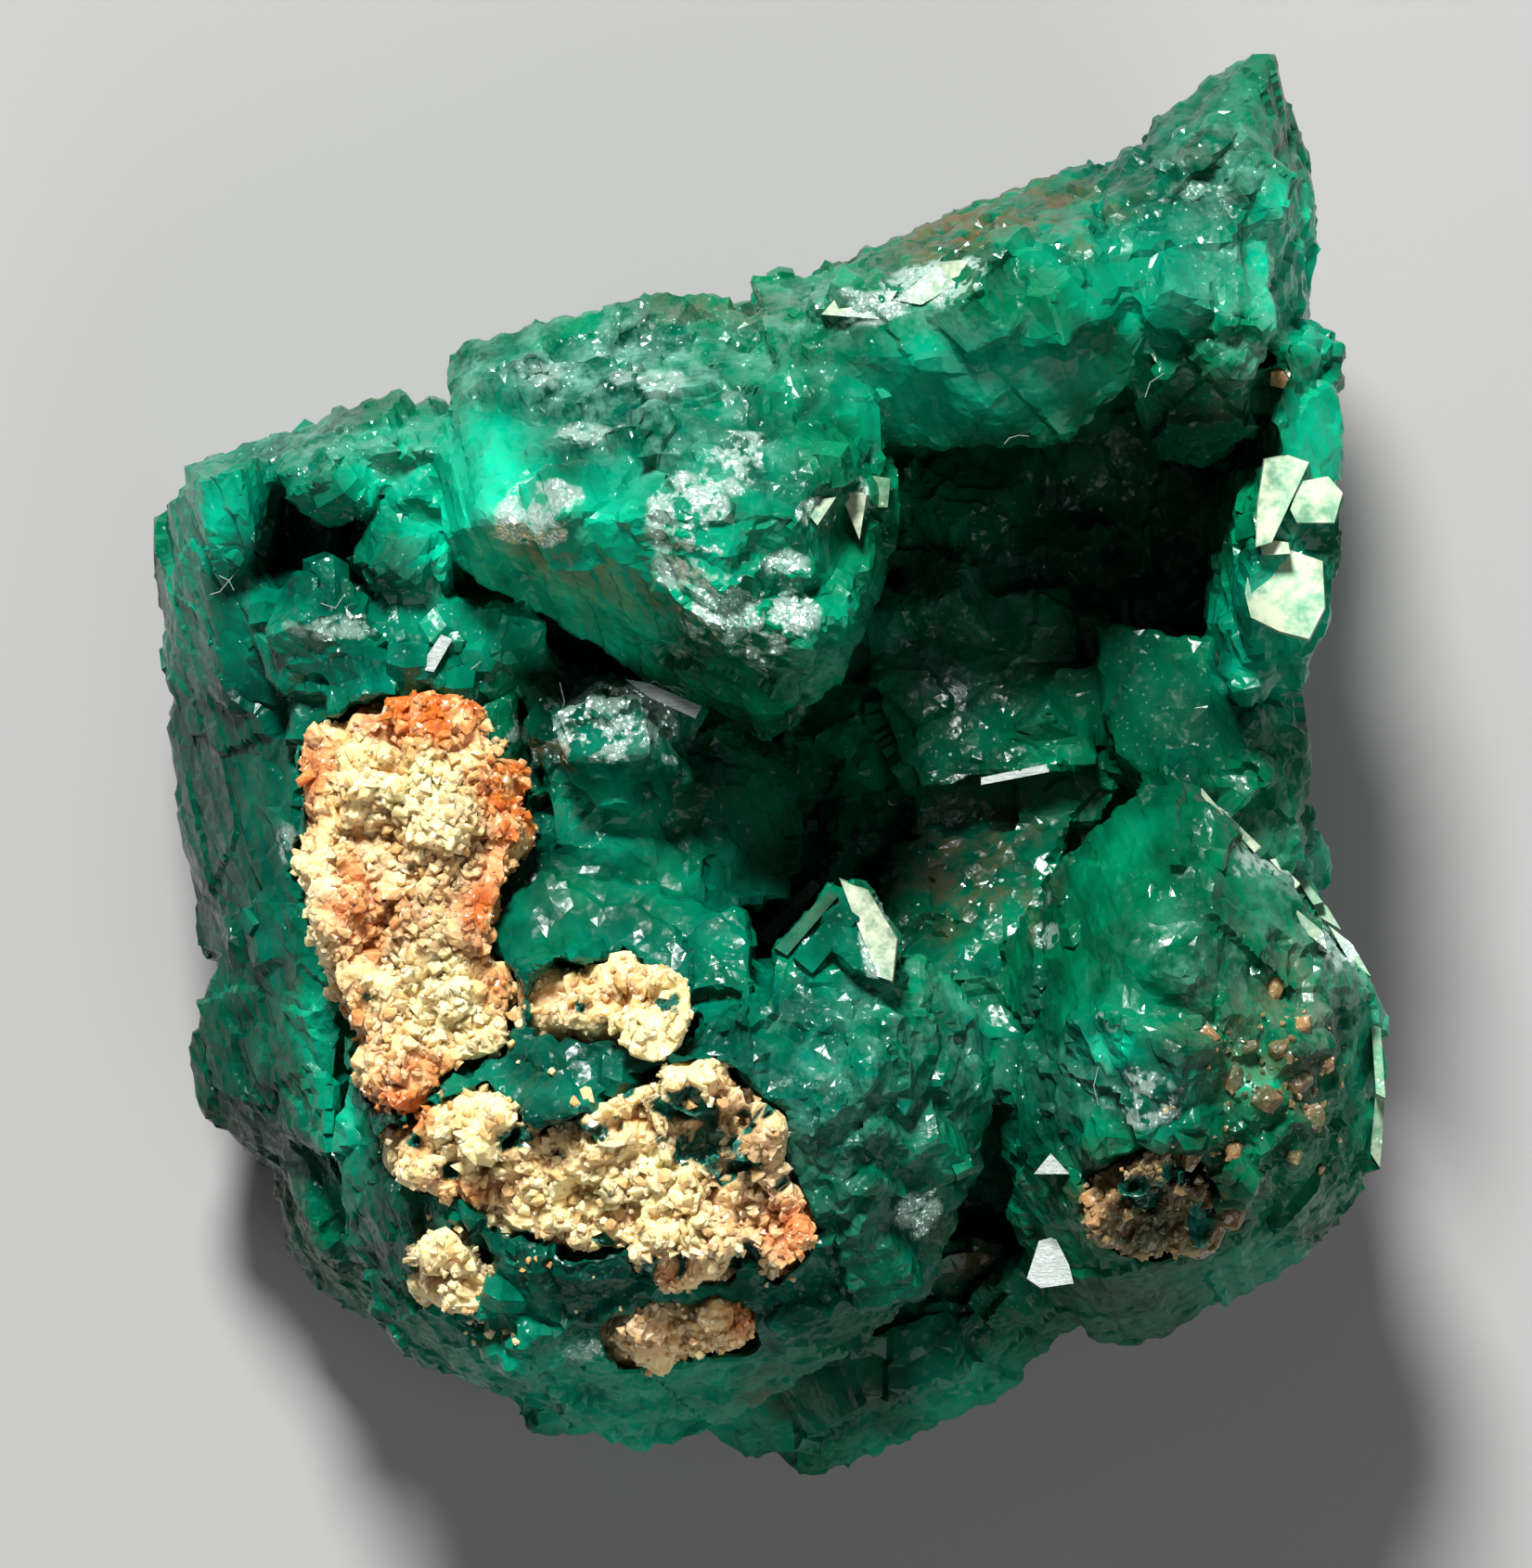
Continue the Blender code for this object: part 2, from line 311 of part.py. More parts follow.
def finish_of(name, colour, roughness):
    """A material with the mineral's colour and shine."""
    made = bpy.data.materials.new(name)
    made.use_nodes = True
    shader = made.node_tree.nodes["Principled BSDF"]
    shader.inputs["Base Color"].default_value = colour
    shader.inputs["Roughness"].default_value = roughness
    shader.inputs["Metallic"].default_value = 0.0
    made.diffuse_color = colour
    return made


def object_of(name, shape, material=None):
    """An object in the scene from a bmesh, which is freed."""
    mesh = bpy.data.meshes.new(name)
    shape.to_mesh(mesh)
    shape.free()
    made = bpy.data.objects.new(name, mesh)
    bpy.context.scene.collection.objects.link(made)
    if material:
        made.data.materials.append(material)
    return made


def flatten(shape, degrees):
    """Merges facets that lie within that angle of one plane."""
    bmesh.ops.dissolve_limit(
        shape,
        angle_limit=math.radians(degrees),
        verts=shape.verts,
        edges=shape.edges,
        use_dissolve_boundaries=False,
    )


def hull(points):
    """A closed convex solid round points given in millimetres."""
    shape = bmesh.new()
    for point in points:
        shape.verts.new(Vector(point) * MM)
    made = bmesh.ops.convex_hull(shape, input=shape.verts)
    unused = set(made["geom_interior"] + made["geom_unused"])
    corners = [part for part in unused if isinstance(part, bmesh.types.BMVert)]
    bmesh.ops.delete(shape, geom=corners, context="VERTS")
    flatten(shape, 1.0)
    bmesh.ops.recalc_face_normals(shape, faces=shape.faces)
    return shape


def helper(name, shape, group):
    """A solid that only takes part in a Boolean, kept out of the model."""
    made = object_of(name, shape)
    bpy.context.scene.collection.objects.unlink(made)
    group.objects.link(made)
    made.hide_render = True
    made.display_type = "WIRE"
    return made


def new_group(name):
    """A collection in the scene."""
    group = bpy.data.collections.new(name)
    bpy.context.scene.collection.children.link(group)
    return group


def crystal_points(base, direction, radius, length, spin):
    """Corners of a six-sided dioptase prism with its three-faced end, from its base along a direction."""
    rise = 0.55 * radius  # each end face climbs this much over half the prism's radius
    turn = Vector(direction).normalized().to_track_quat("Z", "Y").to_matrix() @ Matrix.Rotation(spin, 3, "Z")
    local = [Vector((0, 0, length))]
    for corner in range(6):
        angle = math.radians(60 * corner)
        drop = rise if corner % 2 else 2 * rise
        x, y = radius * math.cos(angle), radius * math.sin(angle)
        local += [Vector((x, y, length - drop)), Vector((x, y, 0))]
    return [Vector(base) + turn @ point for point in local]


def held_inside(point):
    """The point, drawn in until it lies inside the specimen's outline and height."""
    point = point.copy()
    while not inside(OUTLINE, point.x / INSET, point.y / INSET):
        point.x *= INSET
        point.y *= INSET
    point.z = max(RIM_CLEAR, min(HEIGHT - 0.1, point.z))
    return point


def surface_over(crystals):
    """A lookup of the crystal face: the height and slope of the highest crystal at (x, y), in millimetres."""
    points, faces = [], []
    for crystal in crystals:
        first = len(points)
        points += [vertex.co / MM for vertex in crystal.data.vertices]
        faces += [[first + corner for corner in face.vertices] for face in crystal.data.polygons]
    tree = BVHTree.FromPolygons(points, faces)

    def look(x, y):
        place, normal, _, _ = tree.ray_cast(Vector((x, y, 2 * HEIGHT)), Vector((0, 0, -1)))
        return place, normal

    return look


def overgrow(look, spec, group, name):
    """Small crystals side by side on a main form, all pointing nearly one way, as they grow."""
    (x, y), (reach_x, reach_y), count, (smallest, largest), direction, seed = spec
    draw = random.Random(seed)
    spin = draw.uniform(0, math.pi)
    for index in range(count):
        angle, share = draw.uniform(0, 2 * math.pi), math.sqrt(draw.random())
        place, normal = look(x + reach_x * share * math.cos(angle), y + reach_y * share * math.sin(angle))
        radius = draw.uniform(smallest, largest)
        lean = Vector([draw.gauss(0, 0.12) for _ in range(3)])
        if place is None or place.z < 4.0:
            continue
        points = Vector(direction).normalized() + 0.35 * normal + lean
        base = place - points.normalized() * radius * 1.2
        length = radius * draw.uniform(1.75, 2.3)
        corners = crystal_points(base, points, radius, length, spin + draw.gauss(0, 0.1))
        helper(f"{name}_{index}", hull([held_inside(corner) for corner in corners]), group)


def reach(angle):
    """How far the outline lies from the middle in a direction."""
    distance = HALF_WIDTH / 2
    while inside(OUTLINE, distance * math.cos(angle), distance * math.sin(angle)):
        distance += 0.1
    return distance


def grow_flanks(group):
    """Rings of larger crystals that point outwards from the flanks."""
    draw = random.Random(31)
    for ring, (height, share) in enumerate(FLANK_RINGS):
        for index in range(FLANK_COUNT):
            angle = 2 * math.pi * (index + 0.5 * ring + draw.uniform(-0.3, 0.3)) / FLANK_COUNT
            out = Vector((math.cos(angle), math.sin(angle), 0))
            base = out * reach(angle) * share + Vector((0, 0, height + draw.uniform(-0.8, 0.8)))
            radius = draw.uniform(*FLANK_RADIUS)
            points = out + Vector([draw.gauss(0, 0.35) for _ in range(3)])
            corners = crystal_points(base, points, radius, radius * 1.75, draw.uniform(0, math.pi))
            helper(f"flank_{ring}_{index}", hull([held_inside(corner) for corner in corners]), group)


def side_normals(outline):
    """The outward direction of each side of an outline."""
    ends = outline[1:] + outline[:1]
    area = sum(a[0] * b[1] - b[0] * a[1] for a, b in zip(outline, ends))
    sign = 1 if area > 0 else -1
    return [Vector((sign * (b[1] - a[1]), sign * (a[0] - b[0]))).normalized() for a, b in zip(outline, ends)]


def widened(outline, distance):
    """The outline with every side moved outwards by distance."""
    normals = side_normals(outline)
    moved = []
    for index, point in enumerate(outline):
        before, after = normals[index - 1], normals[index]
        middle = (before + after) / max(0.35, 1 + before.dot(after))
        moved.append((point[0] + distance * middle.x, point[1] + distance * middle.y))
    return moved


def block(outline, low, high, taper=0.0):
    """A solid with that outline, from the height low up to high(x, y), its top drawn in by the taper."""
    shape = bmesh.new()
    floor = shape.faces.new([shape.verts.new(Vector((x, y, low)) * MM) for x, y in outline])
    raised = bmesh.ops.extrude_face_region(shape, geom=[floor])
    top = [part for part in raised["geom"] if isinstance(part, bmesh.types.BMFace)][0]
    for corner, (x, y) in zip(outline, widened(outline, -taper)):
        same = min(top.verts, key=lambda vertex: (vertex.co.xy / MM - Vector(corner)).length)
        same.co = Vector((x, y, high(x, y))) * MM
    bmesh.ops.triangulate(shape, faces=shape.faces)
    bmesh.ops.recalc_face_normals(shape, faces=shape.faces)
    return shape


def inside(outline, x, y):
    """Whether a point lies in the outline."""
    crossings = False
    for a, b in zip(outline, outline[1:] + outline[:1]):
        if (a[1] > y) != (b[1] > y) and x < a[0] + (y - a[1]) * (b[0] - a[0]) / (b[1] - a[1]):
            crossings = not crossings
    return crossings


def grain(draw, middle, radius):
    """One blocky calcite grain: the hull of points thrown round its middle."""
    corners = []
    for _ in range(8):
        out = Vector([draw.gauss(0, 1) for _ in range(3)]).normalized()
        corners.append(Vector(middle) + radius * draw.uniform(0.82, 1.0) * out)
    return hull(corners)


def add_boolean(target, name, operation, tool=None, group=None):
    """A Boolean on target with one object or with all of a group."""
    cut = target.modifiers.new(name, "BOOLEAN")
    cut.operation = operation
    cut.solver = "EXACT"
    if group:
        cut.operand_type = "COLLECTION"
        cut.collection = group
    else:
        cut.object = tool
    return cut


def make_crust(name, spec, look, wells, material):
    """A crust of grains in its seat. It adds the seat to wells, which are cut from the dioptase."""
    outline, floor, rise, (smallest, largest), count, seed = spec
    draw = random.Random(seed)
    left, right = min(x for x, _ in outline), max(x for x, _ in outline)
    low, high = min(y for _, y in outline), max(y for _, y in outline)

    samples = [(x, y, look(x, y)[0].z) for x, y in outline]
    slope = np.linalg.lstsq([(1, x, y) for x, y, _ in samples], [z for _, _, z in samples], rcond=None)[0]

    def top_at(x, y):
        return slope.dot((1, x, y)) + rise

    body = block(outline, floor, lambda x, y: top_at(x, y) - 0.8 * smallest, CRUST_TAPER)
    crust = object_of(name, body, material)
    grains = new_group(f"{name}_grains")
    placed = 0
    while placed < count:
        x, y = draw.uniform(left, right), draw.uniform(low, high)
        if not inside(outline, x, y):
            continue
        radius = draw.uniform(smallest, largest)
        middle = (x, y, top_at(x, y) - 0.8 * radius)
        helper(f"{name}_grain_{placed}", grain(draw, middle, radius), grains)
        placed += 1
    keep = new_group(f"{name}_keep")
    sides = helper(f"{name}_sides", block(outline, floor - 1.0, lambda x, y: HEIGHT + 2.0, CRUST_TAPER), keep)
    add_boolean(crust, "grains", "UNION", group=grains)
    add_boolean(crust, "trim", "INTERSECT", tool=sides)
    seat = block(widened(outline, SEAT_GAP), floor - SEAT_GAP, lambda x, y: HEIGHT + 2.0)
    helper(f"{name}_seat", seat, wells)
    return crust


def shells_of(shape):
    """The faces of a bmesh, sorted into connected shells."""
    left, shells = set(shape.faces), []
    while left:
        first = left.pop()
        shell, waiting = {first}, [first]
        while waiting:
            for edge in waiting.pop().edges:
                for face in edge.link_faces:
                    if face in left:
                        left.remove(face)
                        shell.add(face)
                        waiting.append(face)
        shells.append(shell)
    return shells


def settle(made):
    """Applies the Booleans, fills small closed voids left between crystals and merges facets in one plane."""
    graph = bpy.context.evaluated_depsgraph_get()
    mesh = bpy.data.meshes.new_from_object(made.evaluated_get(graph))
    shape = bmesh.new()
    shape.from_mesh(mesh)
    outer = max(shells_of(shape), key=len)
    bmesh.ops.delete(shape, geom=[face for face in shape.faces if face not in outer], context="FACES")
    flatten(shape, 0.5)
    bmesh.ops.triangulate(shape, faces=shape.faces)
    shape.to_mesh(mesh)
    shape.free()
    made.modifiers.clear()
    made.data = mesh


def main():
    clear_scene()
    green = finish_of("dioptase", DIOPTASE_GREEN, 0.18)
    cream = finish_of("calcite", CALCITE_CREAM, 0.45)
    growth, wells = new_group("growth"), new_group("seats")
    names = list(CRYSTALS)
    cluster = object_of("dioptase_cluster", hull(CRYSTALS[names[0]]), green)
    forms = [helper(f"form_{name}", hull(CRYSTALS[name]), growth) for name in names[1:]]
    look = surface_over([cluster, *forms])
    for name, spec in OVERGROWTH.items():
        overgrow(look, spec, growth, name)
    grow_flanks(growth)
    crusts = [make_crust(name, spec, look, wells, cream) for name, spec in CRUSTS.items()]
    add_boolean(cluster, "grown_together", "UNION", group=growth)
    add_boolean(cluster, "crust_seats", "DIFFERENCE", group=wells)
    for made in [cluster, *crusts]:
        settle(made)


main()
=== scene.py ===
import math
import random

import bmesh
import bpy
import numpy as np
from mathutils import Matrix, Vector
from mathutils.bvhtree import BVHTree


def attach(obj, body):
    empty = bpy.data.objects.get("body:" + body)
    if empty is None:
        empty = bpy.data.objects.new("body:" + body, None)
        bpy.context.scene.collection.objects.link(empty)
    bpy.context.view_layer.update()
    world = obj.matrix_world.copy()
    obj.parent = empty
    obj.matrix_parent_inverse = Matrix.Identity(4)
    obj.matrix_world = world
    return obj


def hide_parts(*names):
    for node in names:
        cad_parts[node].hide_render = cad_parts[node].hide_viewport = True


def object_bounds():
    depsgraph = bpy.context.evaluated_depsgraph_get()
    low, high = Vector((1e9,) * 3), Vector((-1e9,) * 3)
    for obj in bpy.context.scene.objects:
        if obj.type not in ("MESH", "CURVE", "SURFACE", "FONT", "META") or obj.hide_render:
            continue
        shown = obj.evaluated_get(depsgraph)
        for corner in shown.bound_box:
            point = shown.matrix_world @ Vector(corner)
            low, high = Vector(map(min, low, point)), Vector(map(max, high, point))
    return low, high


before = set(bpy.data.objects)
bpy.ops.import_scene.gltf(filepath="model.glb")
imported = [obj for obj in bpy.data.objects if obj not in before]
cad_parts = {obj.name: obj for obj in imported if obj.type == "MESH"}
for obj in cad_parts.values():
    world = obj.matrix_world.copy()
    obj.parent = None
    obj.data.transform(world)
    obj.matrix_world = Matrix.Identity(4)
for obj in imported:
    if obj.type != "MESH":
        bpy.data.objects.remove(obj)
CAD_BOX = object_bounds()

# Lengths are in millimetres until a mesh is made.
MM = 0.001
BODY_VOXEL = 0.13
CRUST_VOXEL = 0.11
MOST_TRIANGLES = 190000
ABOVE = 40
BOX_LOW = np.array(CAD_BOX[0]) / MM
BOX_HIGH = np.array(CAD_BOX[1]) / MM
CRUSTS = ["calcite_column", "calcite_band", "calcite_upper_patch", "calcite_lower_patch",
          "calcite_left_patch", "calcite_right_patch"]

# Noise

# large odd numbers that scatter neighbouring cells
SCATTER = (73856093, 19349663, 83492791, 2654435761)
STIR = (1274126177, 2246822519)
LOW_BITS = 0xFFFFFF


def hashed(cells, seed):
    """A repeatable number from 0 to 1 for each row of whole numbers."""
    cells = cells.astype(np.int64)
    a, b, c, d = SCATTER
    mixed = (cells[..., 0] * a) ^ (cells[..., 1] * b) ^ (cells[..., 2] * c) ^ (seed * d)
    mixed = (mixed ^ (mixed >> 13)) * STIR[0]
    mixed = (mixed ^ (mixed >> 16)) * STIR[1]
    return ((mixed ^ (mixed >> 13)) & LOW_BITS) / float(LOW_BITS)


def cell_noise(points, size, seed):
    """Voronoi cells: the nearest centre, how far it is, how much further the next is, the cell's numbers."""
    grid = np.floor(points / size)
    best = np.full(len(points), 1e9)
    second = np.full(len(points), 1e9)
    centre = np.zeros_like(points)
    own = np.zeros_like(points)
    for dx in (-1, 0, 1):
        for dy in (-1, 0, 1):
            for dz in (-1, 0, 1):
                cell = grid + (dx, dy, dz)
                jitter = np.stack([hashed(cell, seed + k) for k in range(3)], axis=1)
                place = (cell + jitter) * size
                distance = np.linalg.norm(points - place, axis=1)
                nearer = distance < best
                second = np.where(nearer, best, np.minimum(second, distance))
                centre[nearer] = place[nearer]
                own[nearer] = np.stack([hashed(cell[nearer], seed + 7 + k) for k in range(3)], axis=1)
                best = np.where(nearer, distance, best)
    return centre, best, second - best, own


def smooth_noise(points, size, seed):
    """Value noise from -1 to 1."""
    scaled = points / size
    low = np.floor(scaled)
    part = scaled - low
    part = part * part * (3 - 2 * part)
    total = np.zeros(len(points))
    for dx in (0, 1):
        for dy in (0, 1):
            for dz in (0, 1):
                weight = np.prod(np.abs((1 - dx, 1 - dy, 1 - dz) - part), axis=1)
                total += weight * hashed(low + (dx, dy, dz), seed)
    return 2 * total - 1


def facets(points, size, steepness, seed):
    """Offsets that turn a surface into flat tilted facets with small steps between them."""
    centre, _, _, own = cell_noise(points, size, seed)
    tilt = (own - 0.5) * 2 * steepness
    return np.einsum("ij,ij->i", tilt, points - centre) + (own[:, 0] - 0.5) * 0.25 * size * steepness


# Where things lie, seen from above. Each spot is (x, y, reach x, reach y, strength).

# where a face is smooth instead of rough
SMOOTH = [
    (-5.6, 5.6, 1.9, 2.2, 1.0), (-3.2, 4.2, 2.0, 1.0, 0.8), (1.7, 3.4, 0.9, 1.7, 0.9),
    (4.6, 8.6, 3.4, 1.6, 1.0), (8.0, 10.0, 1.8, 1.3, 1.0), (8.4, 1.6, 2.0, 2.2, 1.0),
    (7.4, -3.6, 2.2, 2.4, 0.8), (-4.3, 3.4, 2.2, 0.9, 1.0), (11.6, 6.9, 0.8, 1.4, 0.9),
    (11.0, 2.6, 1.3, 1.4, 0.9), (-12.3, 0.0, 1.6, 7.0, 0.9), (8.6, -11.0, 3.0, 1.2, 0.9),
    (7.6, -2.2, 1.8, 1.6, 0.7), (-3.4, 0.2, 0.9, 0.7, 0.9), (2.6, -13.4, 3.0, 1.6, 0.9),
    (4.6, 2.6, 2.2, 1.8, 0.6), (1.3, -2.9, 0.8, 0.9, 0.9), (-3.4, -3.0, 2.2, 1.5, 0.9),
    (7.6, -1.6, 1.8, 1.2, 0.9),
]
# where the crystals are weathered to grey-green
GREY = [
    (-3.6, 8.6, 3.4, 1.4, 1.0), (0.6, 9.4, 1.6, 1.2, 0.8), (-9.0, 7.0, 1.6, 0.7, 0.9),
    (-0.6, 6.4, 1.6, 1.0, 0.5), (0.9, 2.0, 0.6, 0.7, 0.8), (9.8, 12.2, 1.2, 2.4, 0.6),
    (10.3, 9.6, 0.6, 2.2, 0.8), (12.0, -3.4, 1.6, 2.4, 0.8), (-3.0, 1.1, 1.0, 0.6, 0.6),
    (4.2, 2.8, 1.8, 2.0, 0.5), (3.2, -6.0, 1.6, 1.6, 0.5), (-5.2, 5.4, 0.9, 0.6, 0.8),
    (6.6, -6.6, 1.2, 0.8, 0.5), (1.6, -7.4, 2.0, 2.0, 0.4), (9.6, -4.4, 2.4, 1.4, 0.3),
    (3.2, 9.6, 2.2, 0.5, 0.7),
]
# painted light: where the crystal's colour is brightened to stand for light shining through it
PAINTED_GLOW = [
    (-6.2, 5.4, 1.4, 2.2, 1.0), (-4.4, 3.4, 2.3, 1.0, 1.0), (-2.6, 4.8, 3.2, 1.6, 0.5),
    (-12.6, 3.6, 0.5, 1.6, 0.6), (-11.9, 5.6, 0.7, 1.1, 0.9), (-8.0, 6.4, 0.9, 0.7, 0.9),
    (8.2, 10.4, 1.6, 1.2, 0.45), (6.4, 11.2, 1.4, 0.6, 0.3), (11.5, 10.8, 1.0, 1.6, 0.9),
    (11.8, 6.9, 0.8, 1.3, 0.9), (10.9, 3.0, 1.2, 1.6, 0.8), (1.6, 2.6, 0.9, 1.6, 0.3),
    (-9.3, -6.4, 0.7, 3.2, 0.8), (12.1, -2.0, 0.5, 1.2, 1.0), (7.2, -5.9, 0.5, 0.25, 1.0),
    (10.4, -6.6, 0.5, 0.3, 0.7), (-3.4, -1.0, 1.1, 0.6, 0.6), (4.0, 8.4, 2.6, 1.0, 0.6),
    (-3.6, -13.0, 3.0, 0.8, 0.6), (10.9, 10.6, 0.8, 1.4, 0.9), (-2.2, -14.2, 2.6, 0.7, 0.6),
    (10.6, -11.0, 1.4, 1.0, 0.5), (5.0, -13.6, 1.6, 1.0, 0.6), (2.6, -15.0, 1.2, 0.6, 0.6),
    (1.6, -0.6, 2.0, 1.2, 0.2), (-11.2, 3.0, 1.0, 0.8, 0.4), (13.0, -6.2, 0.5, 1.8, 0.5),
    (-6.0, -12.0, 1.4, 1.4, 0.3),
]
# where brown iron stain lies on them
BROWN = [
    (4.2, -2.0, 1.5, 1.3, 1.0), (3.6, 12.0, 2.6, 0.9, 1.0), (-10.6, -9.6, 0.5, 1.0, 0.8),
    (4.2, -10.4, 0.7, 0.8, 0.8), (0.2, -13.4, 0.9, 0.5, 0.6), (9.4, 7.8, 0.9, 0.6, 0.5),
    (8.2, -9.2, 1.8, 0.9, 0.7), (10.8, -5.4, 1.6, 1.6, 0.5), (-1.2, 9.9, 1.6, 0.4, 0.5),
    (9.2, 13.4, 0.7, 0.4, 0.4),
]
# painted shade: crevices, hollows, the pocket and shadowed places beside raised parts, darkened in colour
PAINTED_SHADE = [
    (5.5, 5.2, 3.4, 2.0, 0.85), (4.4, -1.6, 2.3, 1.4, 0.95), (4.6, 2.2, 3.0, 2.2, 0.6),
    (1.2, -1.0, 1.4, 1.1, 0.9), (8.3, 1.6, 2.6, 2.4, 1.0), (-12.2, -0.6, 1.6, 5.6, 0.9),
    (-10.6, -9.6, 1.8, 2.6, 0.9), (8.6, -11.2, 3.2, 1.2, 0.5), (3.4, -13.2, 3.0, 2.0, 0.35),
    (-11.9, -6.6, 1.2, 2.4, 0.8), (-5.0, -1.6, 0.6, 1.6, 0.7), (5.7, -7.4, 0.8, 3.0, 0.8),
    (-5.2, 2.0, 1.4, 0.4, 0.6), (-1.4, 0.0, 1.6, 0.8, 0.6), (-5.0, 0.4, 0.4, 1.0, 0.7),
    (-4.2, -6.2, 1.6, 0.5, 0.8), (8.2, -5.8, 0.35, 0.4, 1.0), (8.6, 7.2, 1.2, 0.8, 0.8),
    (7.6, 3.4, 1.6, 2.0, 0.6), (-2.0, -6.4, 1.2, 0.5, 0.6), (-5.4, -10.0, 1.4, 0.4, 0.5),
    (3.6, -0.8, 2.4, 1.0, 0.5),
]
# painted reflection: where a face is painted pale and silvery like a flash of light; these faces are also
# glossier
PAINTED_REFLECTIONS = [
    (-5.2, 5.3, 0.8, 0.45, 0.9), (-4.8, 5.8, 0.7, 0.4, 0.9), (-1.7, 5.3, 0.8, 1.0, 1.0),
    (-0.6, 6.6, 0.7, 0.6, 1.0), (-0.6, 3.3, 1.6, 0.9, 1.0), (-1.9, 4.3, 0.6, 0.5, 0.8),
    (0.3, 4.4, 0.7, 0.5, 0.8), (1.0, 5.5, 0.4, 0.3, 0.8), (-3.9, 7.2, 0.9, 0.4, 0.5),
    (-2.6, 8.3, 1.3, 0.5, 0.45), (-4.8, 8.4, 0.9, 0.5, 0.45), (-1.0, 7.9, 0.8, 0.5, 0.45),
    (1.9, 5.6, 0.25, 0.6, 1.0), (2.2, -3.6, 0.28, 0.9, 1.0), (1.9, 9.9, 0.8, 0.3, 1.0),
    (3.6, 10.4, 0.9, 0.5, 0.9), (7.8, -7.1, 1.0, 0.7, 0.7), (5.8, -2.6, 0.3, 0.3, 0.9),
    (5.9, -3.5, 0.25, 0.25, 0.9), (7.2, -5.3, 0.3, 0.2, 1.0), (-3.5, 1.0, 1.5, 0.8, 1.0),
    (3.1, -9.4, 0.6, 0.6, 0.6), (-10.4, -1.6, 0.25, 0.4, 0.7), (-11.1, -7.2, 0.4, 0.2, 0.8),
    (5.2, -12.5, 0.3, 0.7, 0.7), (9.4, 12.2, 1.6, 0.7, 0.4), (11.0, -1.9, 1.1, 0.5, 0.5),
    (12.2, -3.4, 0.8, 0.8, 0.6), (-9.0, 3.1, 1.6, 0.3, 0.5), (-3.8, -12.4, 0.8, 0.3, 0.5),
]
# where the green leans to blue
COOL = [
    (-3.0, -8.0, 7.0, 6.0, 1.0), (-10.6, 1.0, 4.0, 7.0, 1.0), (-3.4, 7.4, 4.0, 2.2, 0.8),
    (8.0, 12.6, 3.0, 2.0, 0.6), (7.6, -6.6, 1.6, 1.4, 0.8), (-3.4, 0.4, 1.6, 1.4, 0.8),
]
# where the faces are etched to rounded hillocks
PEBBLY = [
    (-2.0, -8.6, 6.6, 6.0, 1.0), (8.8, -6.6, 4.4, 5.4, 0.9), (-2.6, -13.2, 4.0, 1.6, 0.8),
]
# where the faces carry parallel growth steps
STRIATED = [
    (-0.6, 3.2, 2.0, 1.3, 1.0), (-2.1, 5.4, 1.0, 0.9, 0.7), (2.0, -4.4, 1.2, 1.8, 0.7),
    (-12.4, 0.0, 1.0, 7.0, 0.3),
]
# where small crystals stand on the faces
CRYSTALLINE = [
    (-9.6, 5.2, 2.4, 2.2, 0.9), (-3.4, 9.2, 3.6, 0.7, 0.5), (1.4, 8.2, 1.4, 1.6, 0.5),
    (2.2, 6.4, 0.9, 1.2, 0.7), (3.6, 10.8, 3.0, 0.8, 0.6), (9.2, 12.0, 1.6, 1.8, 0.5),
    (10.8, 7.4, 1.0, 0.8, 0.4), (-8.2, 2.6, 3.2, 0.9, 0.8), (-5.4, 1.6, 2.0, 0.6, 0.6),
    (4.4, -2.2, 1.6, 1.2, 0.7), (6.6, -2.6, 0.9, 1.4, 0.7), (6.2, -5.2, 1.2, 1.6, 0.5),
    (10.6, -6.2, 2.2, 2.4, 0.5), (-4.6, -9.4, 3.8, 2.6, 0.35), (3.0, 2.6, 2.0, 2.0, 0.15),
    (5.2, -8.6, 0.8, 3.0, 0.5), (12.8, -6.6, 0.8, 2.6, 0.5), (10.4, 4.6, 0.8, 1.0, 0.3),
]
# where iron stains the calcite orange
RUST = [
    (-7.4, 1.3, 1.9, 0.7, 1.0), (-5.5, -0.9, 0.8, 1.3, 1.0), (-6.2, -2.9, 0.6, 1.1, 1.0),
    (-8.0, -7.2, 0.8, 0.6, 1.0), (-9.9, 0.1, 0.6, 1.0, 0.8), (-8.9, -3.2, 0.9, 0.8, 0.7),
    (0.6, -9.9, 0.6, 1.0, 0.8), (-5.3, -10.5, 0.6, 0.4, 1.0), (-6.6, -9.0, 0.7, 0.35, 0.7),
    (7.6, -9.3, 1.2, 0.8, 0.35), (9.6, -6.4, 2.4, 1.8, 0.2), (-0.6, -11.6, 0.5, 0.6, 0.9),
    (-5.6, -4.6, 0.5, 0.6, 0.7), (-7.1, -6.5, 0.9, 0.4, 0.8), (-9.2, -5.4, 0.5, 0.8, 0.7),
    (-4.6, -10.3, 0.7, 0.3, 0.6), (-2.2, -10.8, 0.6, 0.3, 0.6),
]
